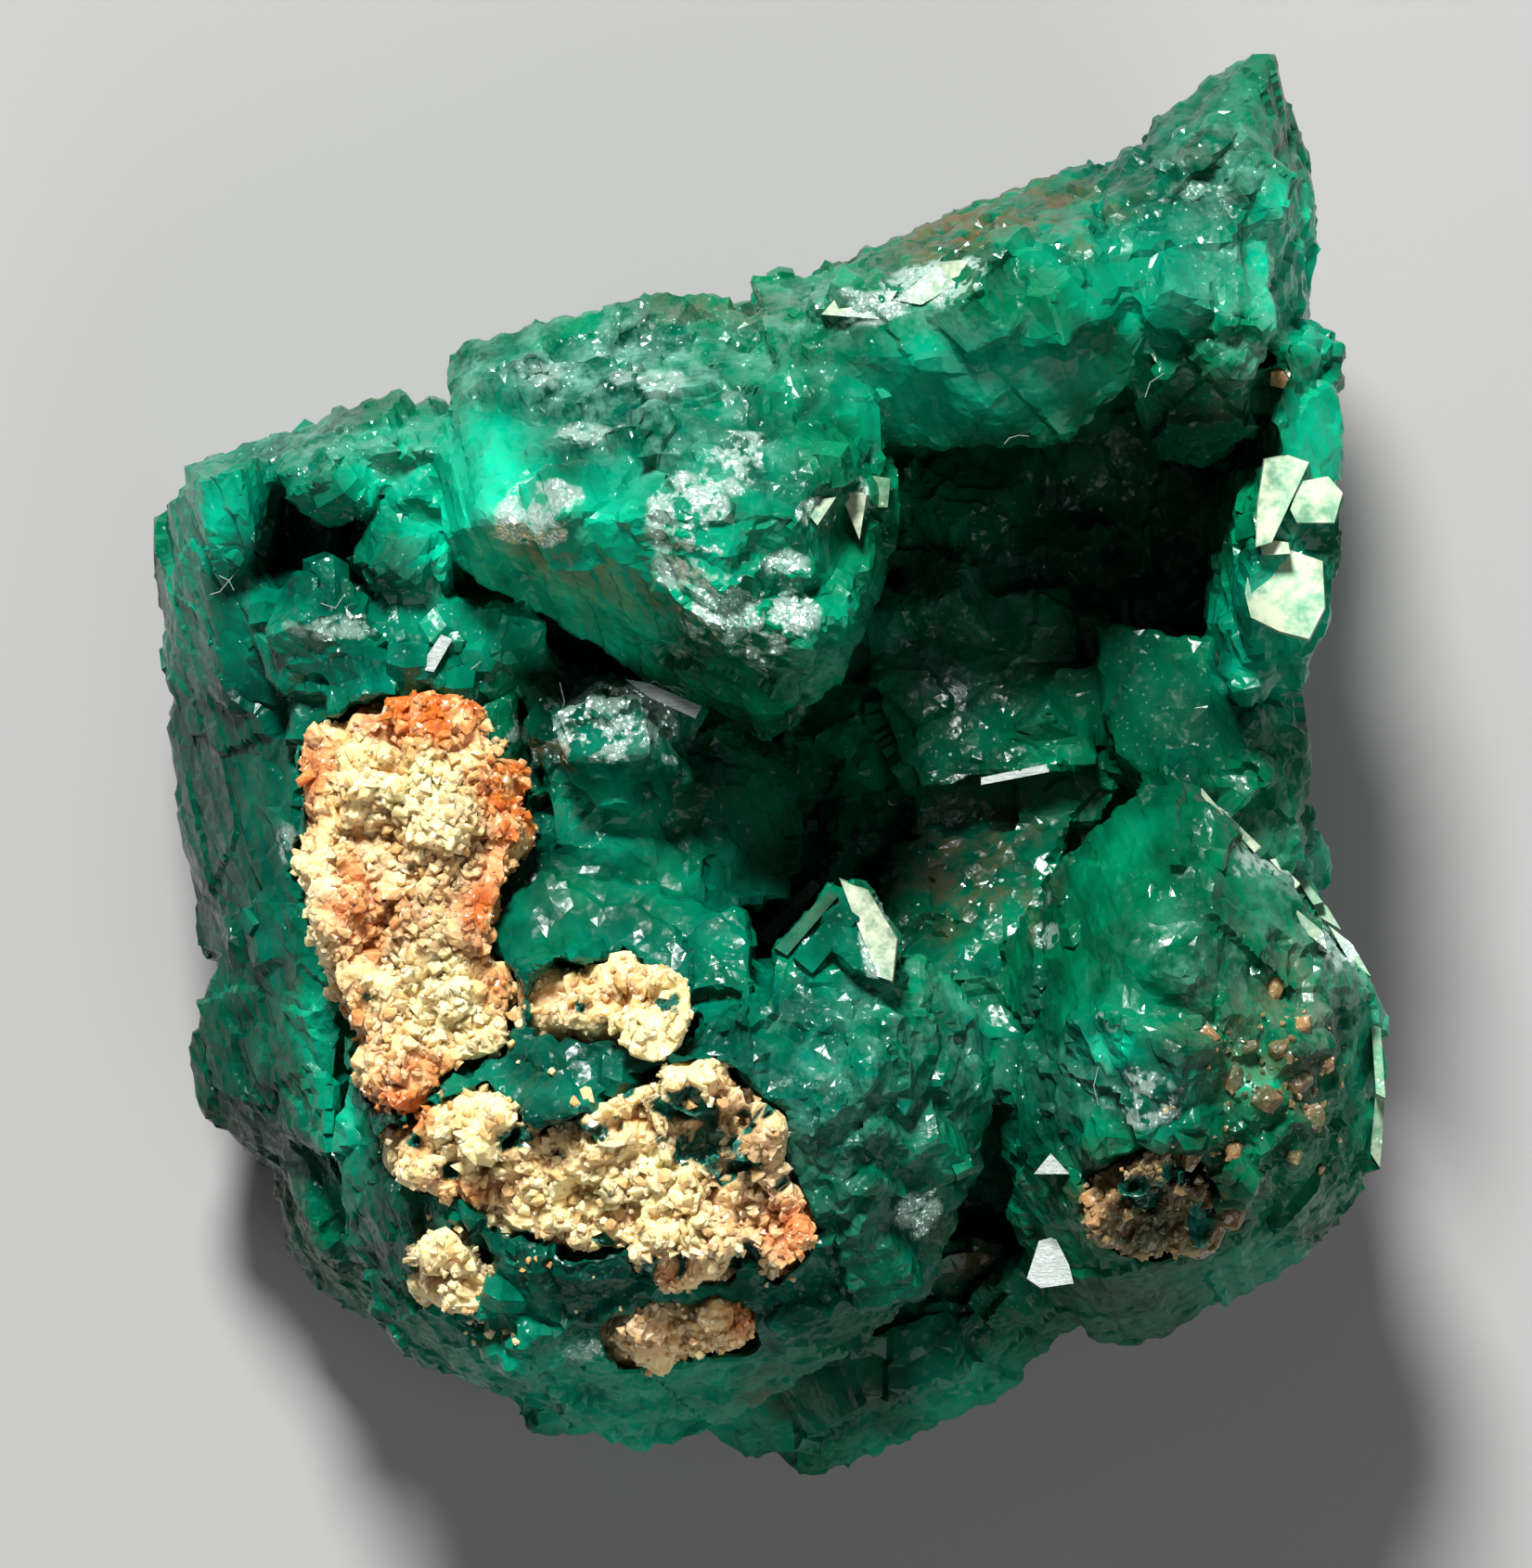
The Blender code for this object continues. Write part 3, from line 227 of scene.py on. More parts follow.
# holes in the crusts, where the green shows through
HOLES = [
    (-1.9, -7.1, 1.1, 0.5, 1.0), (-0.9, -8.3, 0.8, 0.4, 0.9), (8.0, -9.0, 0.5, 0.4, 0.9),
    (9.2, -9.6, 0.4, 0.5, 0.9), (8.7, -8.6, 0.4, 0.3, 0.8), (7.6, -9.9, 0.4, 0.3, 0.8),
    (-2.2, -4.9, 0.4, 0.3, 0.7), (-3.6, -5.4, 0.4, 0.2, 0.7), (-1.7, -7.9, 0.8, 0.5, 1.0),
    (-3.5, -7.6, 0.7, 0.35, 0.9), (-5.6, -7.8, 0.7, 0.3, 0.9), (-0.5, -10.4, 0.5, 0.35, 0.9),
    (-2.6, -10.6, 0.2, 0.4, 0.9), (-1.9, -10.5, 0.2, 0.35, 0.8), (-5.0, -10.1, 0.5, 0.25, 0.8),
    (-2.9, -6.8, 0.5, 0.3, 0.7), (-6.9, -8.5, 0.3, 0.2, 0.6), (-8.6, -4.9, 0.25, 0.3, 0.7),
    (-6.5, -4.9, 0.2, 0.3, 0.6), (-8.9, -1.6, 0.2, 0.3, 0.5), (-3.9, -4.9, 0.3, 0.25, 0.6),
    (-2.2, -11.9, 0.25, 0.2, 0.6), (-0.4, -7.3, 0.4, 0.3, 0.8), (0.3, -8.8, 0.3, 0.3, 0.7),
    (-4.6, -8.2, 0.3, 0.2, 0.7), (-1.4, -9.9, 0.3, 0.25, 0.8), (-3.6, -10.0, 0.35, 0.25, 0.8),
    (-7.6, -7.9, 0.3, 0.25, 0.7),
]
# painted light: where the calcite faces the light and is painted paler
PAINTED_LIGHT_PATCHES = [
    (-7.7, 0.0, 1.2, 0.9, 1.0), (-6.9, -5.2, 1.0, 0.8, 0.9), (-2.6, -8.8, 1.1, 0.5, 1.0),
    (-4.2, -9.1, 0.9, 0.5, 0.9), (-7.4, -4.2, 0.9, 0.6, 0.7), (-6.6, -7.9, 0.8, 0.4, 0.6),
    (-6.7, -10.5, 0.6, 0.6, 0.5), (-2.8, -5.3, 0.6, 0.4, 0.6),
]
# where the calcite is pinkish
PINK = [
    (-6.9, -3.2, 1.2, 1.0, 1.0), (-7.8, -1.9, 0.7, 0.5, 0.7), (-0.4, -8.0, 1.4, 1.4, 0.9),
    (0.2, -9.4, 0.9, 1.0, 0.8), (-2.0, -11.9, 1.6, 0.6, 0.9), (-8.6, -2.4, 0.9, 1.2, 0.6),
    (-8.0, -6.2, 0.7, 0.9, 0.6), (-1.6, -10.4, 1.2, 0.5, 0.7), (9.6, -7.4, 3.0, 2.6, 1.0),
    (-4.6, -5.0, 0.9, 0.4, 0.8),
]
# where the calcite is thin and stained
DULL = [
    (8.6, -9.4, 2.4, 1.6, 1.0), (10.6, -6.4, 2.8, 2.6, 1.0), (-0.6, -8.0, 0.9, 0.8, 0.4),
    (-6.9, -3.2, 1.1, 0.8, 0.3),
]
# for each mask: its spots, how ragged their edges are, and the seed of that noise
COVERS = {
    "grey": (GREY, 0.5, 51), "painted_glow": (PAINTED_GLOW, 0.35, 61), "brown": (BROWN, 0.6, 71),
    "smooth": (SMOOTH, 0.3, 81), "spark": (CRYSTALLINE, 0.5, 83), "silvery_painted_reflection": (PAINTED_REFLECTIONS, 0.5, 85),
    "painted_shade": (PAINTED_SHADE, 0.4, 87), "pebbly": (PEBBLY, 0.3, 91), "striated": (STRIATED, 0.2, 93),
    "dull": (DULL, 0.5, 94), "rust": (RUST, 0.5, 95), "painted_light_cream": (PAINTED_LIGHT_PATCHES, 0.5, 96), "pink": (PINK, 0.5, 97),
    "holes": (HOLES, 0.5, 98), "cool": (COOL, 0.5, 99),
}


def cover(points, name):
    """How strongly the named spots cover each point, from 0 to 1, with a ragged edge."""
    spots, ragged, seed = COVERS[name]
    total = np.zeros(len(points))
    edge = ragged * smooth_noise(points, 1.1, seed) + 0.5 * ragged * smooth_noise(points, 0.4, seed + 1)
    for x, y, reach_x, reach_y, strength in spots:
        away = np.hypot((points[:, 0] - x) / reach_x, (points[:, 1] - y) / reach_y)
        total = np.maximum(total, strength * np.clip(1.6 - 1.1 * away + edge, 0, 1))
    return total


def openings(points):
    """The ragged openings in the crusts, from 0 to 1."""
    return np.clip(1.7 * cover(points, "holes") - 0.55 - 0.9 * smooth_noise(points, 0.34, 99), 0, 1)


# Meshes


class Ground:
    """The height of the specimen's face at (x, y)."""

    def __init__(self, meshes, unit=MM):
        points, faces = [], []
        for mesh in meshes:
            first = len(points)
            points += [vertex.co / unit for vertex in mesh.vertices]
            faces += [[first + corner for corner in face.vertices] for face in mesh.polygons]
        self.tree = BVHTree.FromPolygons(points, faces)

    def at(self, x, y, spread=0.0):
        """The place there and the way it faces. With a spread, a gap narrower than that is bridged."""
        place, out, _, _ = self.tree.ray_cast(Vector((x, y, ABOVE)), Vector((0, 0, -1)))
        if spread and place is not None:
            steps = ((spread, 0), (-spread, 0), (0, spread), (0, -spread))
            rims = [self.at(x + dx, y + dy)[0] for dx, dy in steps]
            heights = sorted(rim.z for rim in rims if rim is not None)
            if len(heights) > 1 and place.z < heights[-2] - 0.6:
                place = Vector((x, y, heights[-2] - 0.25))
                out = Vector((0, 0, 1))
        return place, out


def level_of(ground, corners):
    """The heights of the face under the corners and the middle of an outline, lowest first."""
    middle = (sum(a for a, _ in corners) / len(corners), sum(b for _, b in corners) / len(corners))
    places = [ground.at(a, b)[0] for a, b in [*corners, middle]]
    return sorted(place.z for place in places if place is not None), middle


# Small crystals that fill gaps between the large ones: corners seen from above, lift, tilt, thickness
FILLERS = [
    ([(7.9, 9.5), (8.9, 9.7), (9.2, 8.9), (8.3, 8.4)], -0.5, (-0.2, -0.4), 3.0),
    ([(10.3, 9.3), (11.2, 9.4), (11.3, 8.7), (10.5, 8.5)], -0.2, (0.3, -0.3), 3.0),
    ([(10.2, 8.4), (11.0, 8.3), (11.0, 7.5), (10.3, 7.5)], -0.5, (0.3, -0.2), 3.0),
    ([(6.0, 3.6), (7.4, 3.5), (7.3, 2.0), (6.1, 2.1)], -0.2, (0.1, -0.1), 5.0),
    ([(6.1, 2.2), (7.3, 2.3), (7.4, 0.6), (6.0, 0.7)], -0.3, (-0.1, 0.1), 5.0),
    ([(-5.1, -1.2), (-3.6, -1.3), (-3.4, -2.6), (-4.9, -2.4)], 0.0, (0.1, 0.0), 5.0),
    ([(-3.8, -1.4), (-2.5, -1.4), (-2.3, -2.7), (-3.7, -2.6)], -0.1, (-0.1, 0.1), 5.0),
    ([(-2.7, -1.4), (-1.3, -1.7), (-1.4, -2.9), (-2.6, -2.7)], -0.1, (0.1, 0.1), 5.0),
    ([(3.2, 0.1), (5.4, 0.2), (5.3, -1.4), (3.2, -1.3)], -0.6, (0.05, 0.3), 5.0),
    ([(5.3, 0.2), (7.6, 0.4), (7.2, -1.1), (5.4, -1.4)], -0.7, (0.0, 0.2), 5.0),
    ([(4.0, -4.3), (5.4, -4.4), (5.6, -5.7), (4.2, -5.6)], -0.5, (0.1, -0.1), 5.0),
    ([(4.2, -5.5), (5.6, -5.6), (5.7, -7.1), (4.4, -7.0)], -0.5, (-0.1, 0.1), 5.0),
]


def fill(mesh):
    """Adds the fillers to a mesh in millimetres, for the remesh to join."""
    ground = Ground([mesh], 1.0)
    shape = bmesh.new()
    shape.from_mesh(mesh)
    for corners, lift, (slope_x, slope_y), thick in FILLERS:
        heights, (x, y) = level_of(ground, corners)
        level = heights[len(heights) // 2] + lift
        hull = []
        for a, b in corners:
            top = level + slope_x * (a - x) + slope_y * (b - y)
            hull += [shape.verts.new((a, b, top)), shape.verts.new((a, b, top - thick))]
        bmesh.ops.convex_hull(shape, input=hull)
    shape.to_mesh(mesh)
    shape.free()


def remeshed(source, voxel, filled=False):
    """The CAD node's shape as an even fine mesh in millimetres, with the fillers if asked."""
    mesh = source.data.copy()
    mesh.transform(Matrix.Scale(1 / MM, 4))
    if filled:
        fill(mesh)
    made = bpy.data.objects.new("remesh", mesh)
    bpy.context.scene.collection.objects.link(made)
    change = made.modifiers.new("remesh", "REMESH")
    change.mode = "VOXEL"
    change.voxel_size = voxel
    fine = bpy.data.meshes.new_from_object(made.evaluated_get(bpy.context.evaluated_depsgraph_get()))
    bpy.data.objects.remove(made)
    return fine


def coordinates(mesh):
    flat = np.empty(3 * len(mesh.vertices))
    mesh.vertices.foreach_get("co", flat)
    return flat.reshape(-1, 3)


def normals(mesh):
    flat = np.empty(3 * len(mesh.vertices))
    mesh.vertices.foreach_get("normal", flat)
    return flat.reshape(-1, 3)


def piece(name, mesh, material, node=None):
    """The mesh as a piece that rides on the body, and stands for the CAD node if one is named."""
    mesh.name = name
    made = bpy.data.objects.new(name, mesh)
    bpy.context.scene.collection.objects.link(made)
    made.data.materials.clear()
    made.data.materials.append(material)
    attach(made, "root")
    if node:
        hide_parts(node)
    return made


def add_mask(mesh, name, values):
    layer = mesh.attributes.get(name) or mesh.attributes.new(name, "FLOAT", "POINT")
    layer.data.foreach_set("value", values.astype(np.float32))


def masks(mesh, points):
    """The looks' masks on a mesh whose points are in millimetres."""
    height = points[:, 2]
    # the painted reflection fades out below 9 mm; the painted shade grows below 16.5 mm and is full below
    # 13.5 mm, so lower places are darker
    fades = {"silvery_painted_reflection": np.clip((height - 7.0) / 2.0, 0, 1), "painted_shade": np.clip((16.5 - height) / 3.0, 0, 1)}
    for name in ("grey", "painted_glow", "brown", "smooth", "silvery_painted_reflection", "cool", "spark", "painted_shade"):
        add_mask(mesh, name, cover(points, name) * fades.get(name, 1.0))


def shrink(mesh, most):
    """Collapses edges where the mesh is flattest, down to about that many triangles."""
    made = bpy.data.objects.new("shrink", mesh)
    bpy.context.scene.collection.objects.link(made)
    count = sum(len(face.vertices) - 2 for face in mesh.polygons)
    if count > most:
        change = made.modifiers.new("collapse", "DECIMATE")
        change.ratio = most / count
    result = bpy.data.meshes.new_from_object(made.evaluated_get(bpy.context.evaluated_depsgraph_get()))
    bpy.data.objects.remove(made)
    return result


def clamp_to_box(points):
    return np.clip(points, BOX_LOW, BOX_HIGH)


def dioptase_mesh(node):
    mesh = remeshed(node, BODY_VOXEL, filled=True)
    points, out = coordinates(mesh), normals(mesh)
    smooth = cover(points, "smooth")
    rough = 1 - 0.92 * smooth
    pebbles = cover(points, "pebbly")
    side = np.clip(1 - np.abs(out[:, 2]), 0, 1)
    coarse = facets(points, 2.4, 0.26, 11) * (0.35 + 0.65 * rough)
    shift = 0.5 * coarse
    shift += 0.42 * facets(points, 0.9, 0.28, 21) * rough
    shift += 0.16 * facets(points, 0.42, 0.3, 31) * rough
    along = points @ np.array([0.55, 0.83, 0.0]) / 0.42 + 0.8 * smooth_noise(points, 1.6, 43)
    shift += 0.12 * (along - np.floor(along)) * cover(points, "striated")
    _, middle, _, _ = cell_noise(points, 0.75, 47)
    _, nearest, _, _ = cell_noise(points, 0.34, 48)
    shift += pebbles * (0.16 * (0.4 - middle) + 0.12 * (0.2 - nearest))
    shift += 0.05 * smooth_noise(points, 0.9, 41) + 0.02 * smooth_noise(points, 0.35, 42) * rough
    _, _, border, own = cell_noise(points, 0.8, 44)
    shift -= 0.10 * rough * (own[:, 1] > 0.85) * np.clip(border / 0.15, 0, 1)
    # growth lines along the prisms of the flanks
    lines = np.sin(points[:, 0] * 9 + points[:, 1] * 3 + 2 * smooth_noise(points, 3.0, 46))
    shift += 0.035 * side * np.sign(lines)
    base = np.clip(points[:, 2] / 0.5, 0, 1)
    # painted shade: the recesses between facets and pebbles are marked for a darker colour
    add_mask(mesh, "painted_crevice_shade", np.clip(0.1 - 4.0 * (shift - 0.5 * coarse), 0, 1))
    points = points + out * (np.clip(shift, -0.45, 0.35) * base)[:, None]
    points = clamp_to_box(points)
    mesh.vertices.foreach_set("co", points.ravel())
    mesh.update()
    mesh = shrink(mesh, MOST_TRIANGLES)
    masks(mesh, coordinates(mesh))
    mesh.transform(Matrix.Scale(MM, 4))
    return mesh


class Builder:
    """Collects many small solids in one mesh. Points are in millimetres."""

    def __init__(self):
        self.points, self.faces, self.tones_and_painted_light = [], [], []

    def add(self, points, faces, tone_and_painted_light=0.0):
        first = len(self.points)
        self.points += [tuple(point) for point in points]
        self.faces += [tuple(first + corner for corner in face) for face in faces]
        self.tones_and_painted_light += [tone_and_painted_light] * len(points)

    def add_hull(self, points, tone_and_painted_light=0.0):
        shape = bmesh.new()
        for point in points:
            shape.verts.new(point)
        bmesh.ops.convex_hull(shape, input=shape.verts)
        loose = [vertex for vertex in shape.verts if not vertex.link_faces]
        bmesh.ops.delete(shape, geom=loose, context="VERTS")
        bmesh.ops.recalc_face_normals(shape, faces=shape.faces)
        shape.verts.index_update()
        faces = [[vertex.index for vertex in face.verts] for face in shape.faces]
        self.add([vertex.co for vertex in shape.verts], faces, tone_and_painted_light)
        shape.free()

    def mesh(self, name):
        points = clamp_to_box(np.array(self.points))
        mesh = bpy.data.meshes.new(name)
        mesh.from_pydata([tuple(point) for point in points * MM], [], self.faces)
        mesh.update()
        masks(mesh, points)
        # each solid's tone; for crust bodies and plates it carries painted light, shade and reflection
        add_mask(mesh, "tone_and_painted_light", np.array(self.tones_and_painted_light))
        for mask in ("rust", "painted_light_cream", "pink", "dull"):
            add_mask(mesh, mask, cover(points, mask))
        add_mask(mesh, "hole", openings(points))
        return mesh


# corners of the two kinds of calcite grain
CORNERS = {"grain": 10, "round": 18}


def template(kind, seed):
    """A unit solid: points and faces of one small crystal or grain."""
    draw = random.Random(seed)
    shape = bmesh.new()
    if kind == "prism":
        for corner in range(6):
            angle = math.radians(60 * corner)
            drop = 0.55 if corner % 2 else 1.1
            x, y = math.cos(angle), math.sin(angle)
            shape.verts.new((x, y, 1.0 - 0.5 * drop))
            shape.verts.new((x, y, -1.0))
        shape.verts.new((0, 0, 1.0))
    else:
        for _ in range(CORNERS[kind]):
            out = Vector([draw.gauss(0, 1) for _ in range(3)]).normalized()
            shape.verts.new(out * draw.uniform(0.8, 1.0))
    bmesh.ops.convex_hull(shape, input=shape.verts)
    bmesh.ops.dissolve_limit(shape, angle_limit=math.radians(2), verts=shape.verts, edges=shape.edges)
    bmesh.ops.recalc_face_normals(shape, faces=shape.faces)
    shape.verts.index_update()
    points = np.array([vertex.co for vertex in shape.verts])
    faces = [[vertex.index for vertex in face.verts] for face in shape.faces]
    shape.free()
    return points, faces


def turned(template_points, towards, spin, radius, length):
    """A template laid along a direction."""
    turn = Vector(towards).normalized().to_track_quat("Z", "Y").to_matrix() @ Matrix.Rotation(spin, 3, "Z")
    return (template_points * (radius, radius, length)) @ np.array(turn).T


class Surface:
    """Random places on a mesh, evenly spread over its area."""

    def __init__(self, mesh):
        mesh.calc_loop_triangles()
        corners = np.array([list(triangle.vertices) for triangle in mesh.loop_triangles])
        points = coordinates(mesh) / MM
        self.a, self.b, self.c = points[corners[:, 0]], points[corners[:, 1]], points[corners[:, 2]]
        cross = np.cross(self.b - self.a, self.c - self.a)
        area = np.linalg.norm(cross, axis=1)
        self.area = area / 2
        self.out = cross / np.maximum(area, 1e-12)[:, None]

    def pick(self, count, seed):
        """Places, the ways they face, and the generator for further draws."""
        chance = np.random.default_rng(seed)
        index = chance.choice(len(self.area), count, p=self.area / self.area.sum())
        u, v = chance.random(count), chance.random(count)
        swap = u + v > 1
        u[swap], v[swap] = 1 - u[swap], 1 - v[swap]
        places = self.a[index] + u[:, None] * (self.b - self.a)[index] + v[:, None] * (self.c - self.a)[index]
        return places, self.out[index], chance


# how many places are tried, and the crystals' sizes
CRYSTAL_PLACES = 3400
SMALLEST_CRYSTAL = 0.08
LARGEST_CRYSTAL = 0.5


def small_crystals(surface):
    """Small crystals grown on the rough faces, in families that point one way."""
    build = Builder()
    places, outs, chance = surface.pick(CRYSTAL_PLACES, 101)
    likely = np.maximum(cover(places, "spark"), 0.015) * (1 - cover(places, "smooth"))
    low = places[:, 2] < 7.5
    likely[low] = 0.04
    _, _, _, own = cell_noise(places, 3.2, 105)
    shape = template("prism", 0)
    for place, out, chosen, family in zip(places, outs, likely, own):
        size = chance.gamma(2.4, 0.09)
        spin = chance.normal(0, 0.15) + family[0] * 6
        jitter = chance.normal(0, 0.10, 3)
        if chance.random() > chosen or size < SMALLEST_CRYSTAL or place[2] < 0.6:
            continue
        if np.any(place + 0.4 > BOX_HIGH) or np.any(place - 0.4 < BOX_LOW):
            continue
        size = min(size, LARGEST_CRYSTAL)
        towards = out + 0.9 * (family - 0.5) + jitter
        points = turned(shape[0], towards, spin, size, size * 1.1) + place - out * size * 0.62
        build.add(points, shape[1])
    return build.mesh("dioptase_small_crystals")


# The tilt of a face that throws the key light at the camera: rise per millimetre along x and y
FLASH = (0.08, -0.39)
# how much wider a plate is at its foot
FLARE = 1.06
# corners seen from above, lift over the face below, tilt, thickness, how strongly a pale reflection is
# painted on
PLATES = [
    # faces of the right wall, painted pale gold-grey as a reflection
    ([(10.56, 6.66), (11.06, 6.76), (11.5, 6.6), (11.2, 6.2), (10.96, 5.5), (10.7, 4.9), (10.36, 4.8),
      (10.4, 5.7)], 0.5, (0.12, -0.3), 1.6, 0.9),
    ([(11.3, 6.2), (11.92, 6.3), (12.22, 5.96), (12.04, 5.32), (11.24, 5.32), (11.1, 5.6)], 0.45,
     (-0.06, -0.26), 1.6, 1.0),
    ([(10.44, 4.98), (11.06, 4.9), (11.1, 4.66), (10.5, 4.62)], 0.35, FLASH, 1.2, 1.0),
    ([(10.26, 4.6), (11.06, 4.76), (11.8, 4.5), (11.84, 3.5), (11.5, 2.84), (10.88, 3.0), (10.26, 3.3),
      (10.14, 3.8)], 0.3, (0.0, -0.3), 1.6, 1.0),
    # plates on the ridge
    ([(1.1, 9.74), (1.5, 10.2), (2.7, 10.24), (2.3, 9.64)], 0.1, FLASH, 0.6, 1.0),
    ([(2.7, 10.04), (3.6, 10.84), (4.5, 10.94), (4.1, 10.44), (3.2, 9.94)], 0.1, FLASH, 0.6, 0.9),
    # faces at the centre crystal's right edge
    ([(1.5, 5.94), (2.1, 6.24), (1.9, 4.94)], 0.2, FLASH, 0.8, 1.0),
    ([(0.6, 5.74), (1.4, 5.84), (1.0, 5.24)], 0.1, FLASH, 0.6, 0.8),
    ([(2.0, 6.34), (2.56, 6.24), (2.5, 5.64), (2.1, 5.64)], 0.2, (0.5, 0.0), 0.8, 0.4),
    # stepped edges and the bright face of the front crystal
    ([(1.5, -2.32), (2.1, -2.56), (2.7, -3.56), (2.6, -4.46), (2.3, -4.36), (2.1, -3.36), (1.7, -2.86)], 0.25,
     FLASH, 0.8, 1.0),
    ([(-0.3, -3.56), (0.9, -2.32), (1.1, -2.46), (-0.04, -3.72)], 0.3, (0.1, 0.2), 1.0, 0.3),
    ([(0.1, -3.76), (1.24, -2.52), (1.44, -2.66), (0.36, -3.92)], 0.35, (0.1, 0.2), 1.0, 0.1),
    ([(0.5, -3.96), (1.5, -2.8), (1.9, -3.1), (0.9, -4.3)], 0.3, (0.1, 0.1), 1.0, 0.0),
    # thin bright edges of the right front crystal
    ([(9.1, -0.34), (9.24, -0.36), (9.7, -0.9), (9.6, -1.0)], 0.12, FLASH, 0.6, 0.7),
    ([(9.5, -0.76), (9.66, -0.78), (10.5, -1.6), (10.36, -1.72)], 0.12, FLASH, 0.6, 0.8),
    ([(10.4, -1.5), (10.56, -1.54), (11.4, -2.4), (11.3, -2.5)], 0.12, FLASH, 0.6, 0.7),
    ([(11.0, -1.8), (11.14, -1.84), (11.9, -2.8), (11.7, -2.86)], 0.15, (0.4, -0.2), 0.6, 0.6),
    ([(11.5, -2.5), (12.0, -2.9), (12.3, -3.4), (11.8, -3.1)], 0.15, FLASH, 0.8, 0.7),
    ([(12.0, -3.3), (12.5, -3.7), (12.9, -4.4), (12.4, -4.0)], 0.15, FLASH, 0.8, 0.7),
    ([(11.2, -2.9), (11.8, -3.4), (11.9, -3.8), (11.4, -3.4)], 0.15, (0.2, -0.2), 0.8, 0.5),
    ([(12.9, -5.4), (13.1, -5.5), (13.2, -7.0), (13.0, -6.9)], 0.25, (0.2, -0.1), 0.8, 0.6),
    ([(13.0, -7.0), (13.2, -7.1), (13.1, -8.5), (12.9, -8.2)], 0.25, (0.2, -0.1), 0.8, 0.6),
]
# chips and rods lying on the crystals: corners, lift, thickness
CHIPS = [
    ([(-3.1, 1.98), (-2.6, 1.9), (-1.46, 1.4), (-1.6, 1.14), (-2.6, 1.6)], 0.9, 0.12),
    ([(-7.54, 2.2), (-7.04, 2.94), (-6.8, 2.84), (-7.2, 2.14)], 0.25, 0.12),
    ([(-9.26, 3.6), (-9.2, 3.66), (-8.92, 3.32), (-8.98, 3.26)], 0.2, 0.1),
    ([(4.54, -0.28), (4.54, -0.12), (6.0, 0.18), (6.0, 0.0)], 0.25, 0.14),
    ([(5.64, -8.6), (6.4, -8.6), (6.0, -8.16)], 0.3, 0.2),
    ([(5.5, -10.86), (5.76, -10.06), (6.1, -9.96), (6.4, -10.56), (6.5, -10.96), (5.8, -11.06)], 0.4, 0.5),
]


def crystal_plates(ground):
    """The faces that catch the light, each the top of a crystal that stands out a little."""
    build = Builder()
    for corners, lift, (slope_x, slope_y), thick, silvery_painted_reflection in PLATES:
        heights, (x, y) = level_of(ground, corners)
        level = heights[len(heights) // 2] + lift
        points = []
        for a, b in corners:
            top = level + slope_x * (a - x) + slope_y * (b - y)
            points += [(a, b, top), (x + FLARE * (a - x), y + FLARE * (b - y), top - thick)]
        # painted reflection: each plate carries how pale its colour is painted
        build.add_hull(points, silvery_painted_reflection)
    return build.mesh("dioptase_plates")


def loose_chips(ground):
    build = Builder()
    for corners, lift, thick in CHIPS:
        heights, (x, y) = level_of(ground, corners)
        level = heights[-1] - 0.3 + lift
        points = [(a, b, level + 0.1 * (a - x) - 0.3 * (b - y)) for a, b in corners]
        build.add_hull(points + [(a, b, z - thick) for a, b, z in points], 0.5)
    return build.mesh("clear_chips")


# lint on the crystals, each a chain of places seen from above
FIBRES = [
    [(-12.0, 3.8), (-11.8, 3.86), (-11.6, 4.1), (-11.4, 4.34)], [(-11.8, 4.2), (-11.6, 4.1), (-11.5, 3.9)],
    [(-6.6, 2.26), (-6.4, 2.2), (-6.2, 2.36)], [(-9.6, 3.6), (-9.3, 3.5), (-9.1, 3.8)],
    [(5.0, 7.0), (5.1, 7.12), (5.3, 7.18), (5.5, 7.16)], [(-4.5, 1.9), (-4.4, 1.5), (-4.55, 1.1)],
    [(8.0, 8.0), (8.1, 8.3), (8.4, 8.5)], [(7.0, -6.3), (6.9, -6.7), (7.0, -7.1)],
]
FIBRE_RADIUS = 0.011


def lint(ground):
    """Thin fibres that lie on the crystals."""
    build = Builder()
    for chain in FIBRES:
        places = [ground.at(x, y)[0] for x, y in chain]
        level = max(place.z for place in places if place is not None) + 0.05
        middles = [Vector((x, y, level)) for x, y in chain]
        for start, end in zip(middles, middles[1:]):
            side = (end - start).cross(Vector((0, 0, 1))).normalized() * FIBRE_RADIUS
            up = Vector((0, 0, FIBRE_RADIUS))
            reach = (end - start).normalized() * FIBRE_RADIUS
            tips = (start - reach, end + reach)
            build.add_hull([tip + shift for tip in tips for shift in (side, -side, up, -up)])
    return build.mesh("lint")


# grains per square millimetre of crust, and their sizes
CRUST_GRAINS = 12.0
SMALLEST_GRAIN = 0.04
GRAIN_SPREAD = 0.11
LARGEST_GRAIN = 0.36


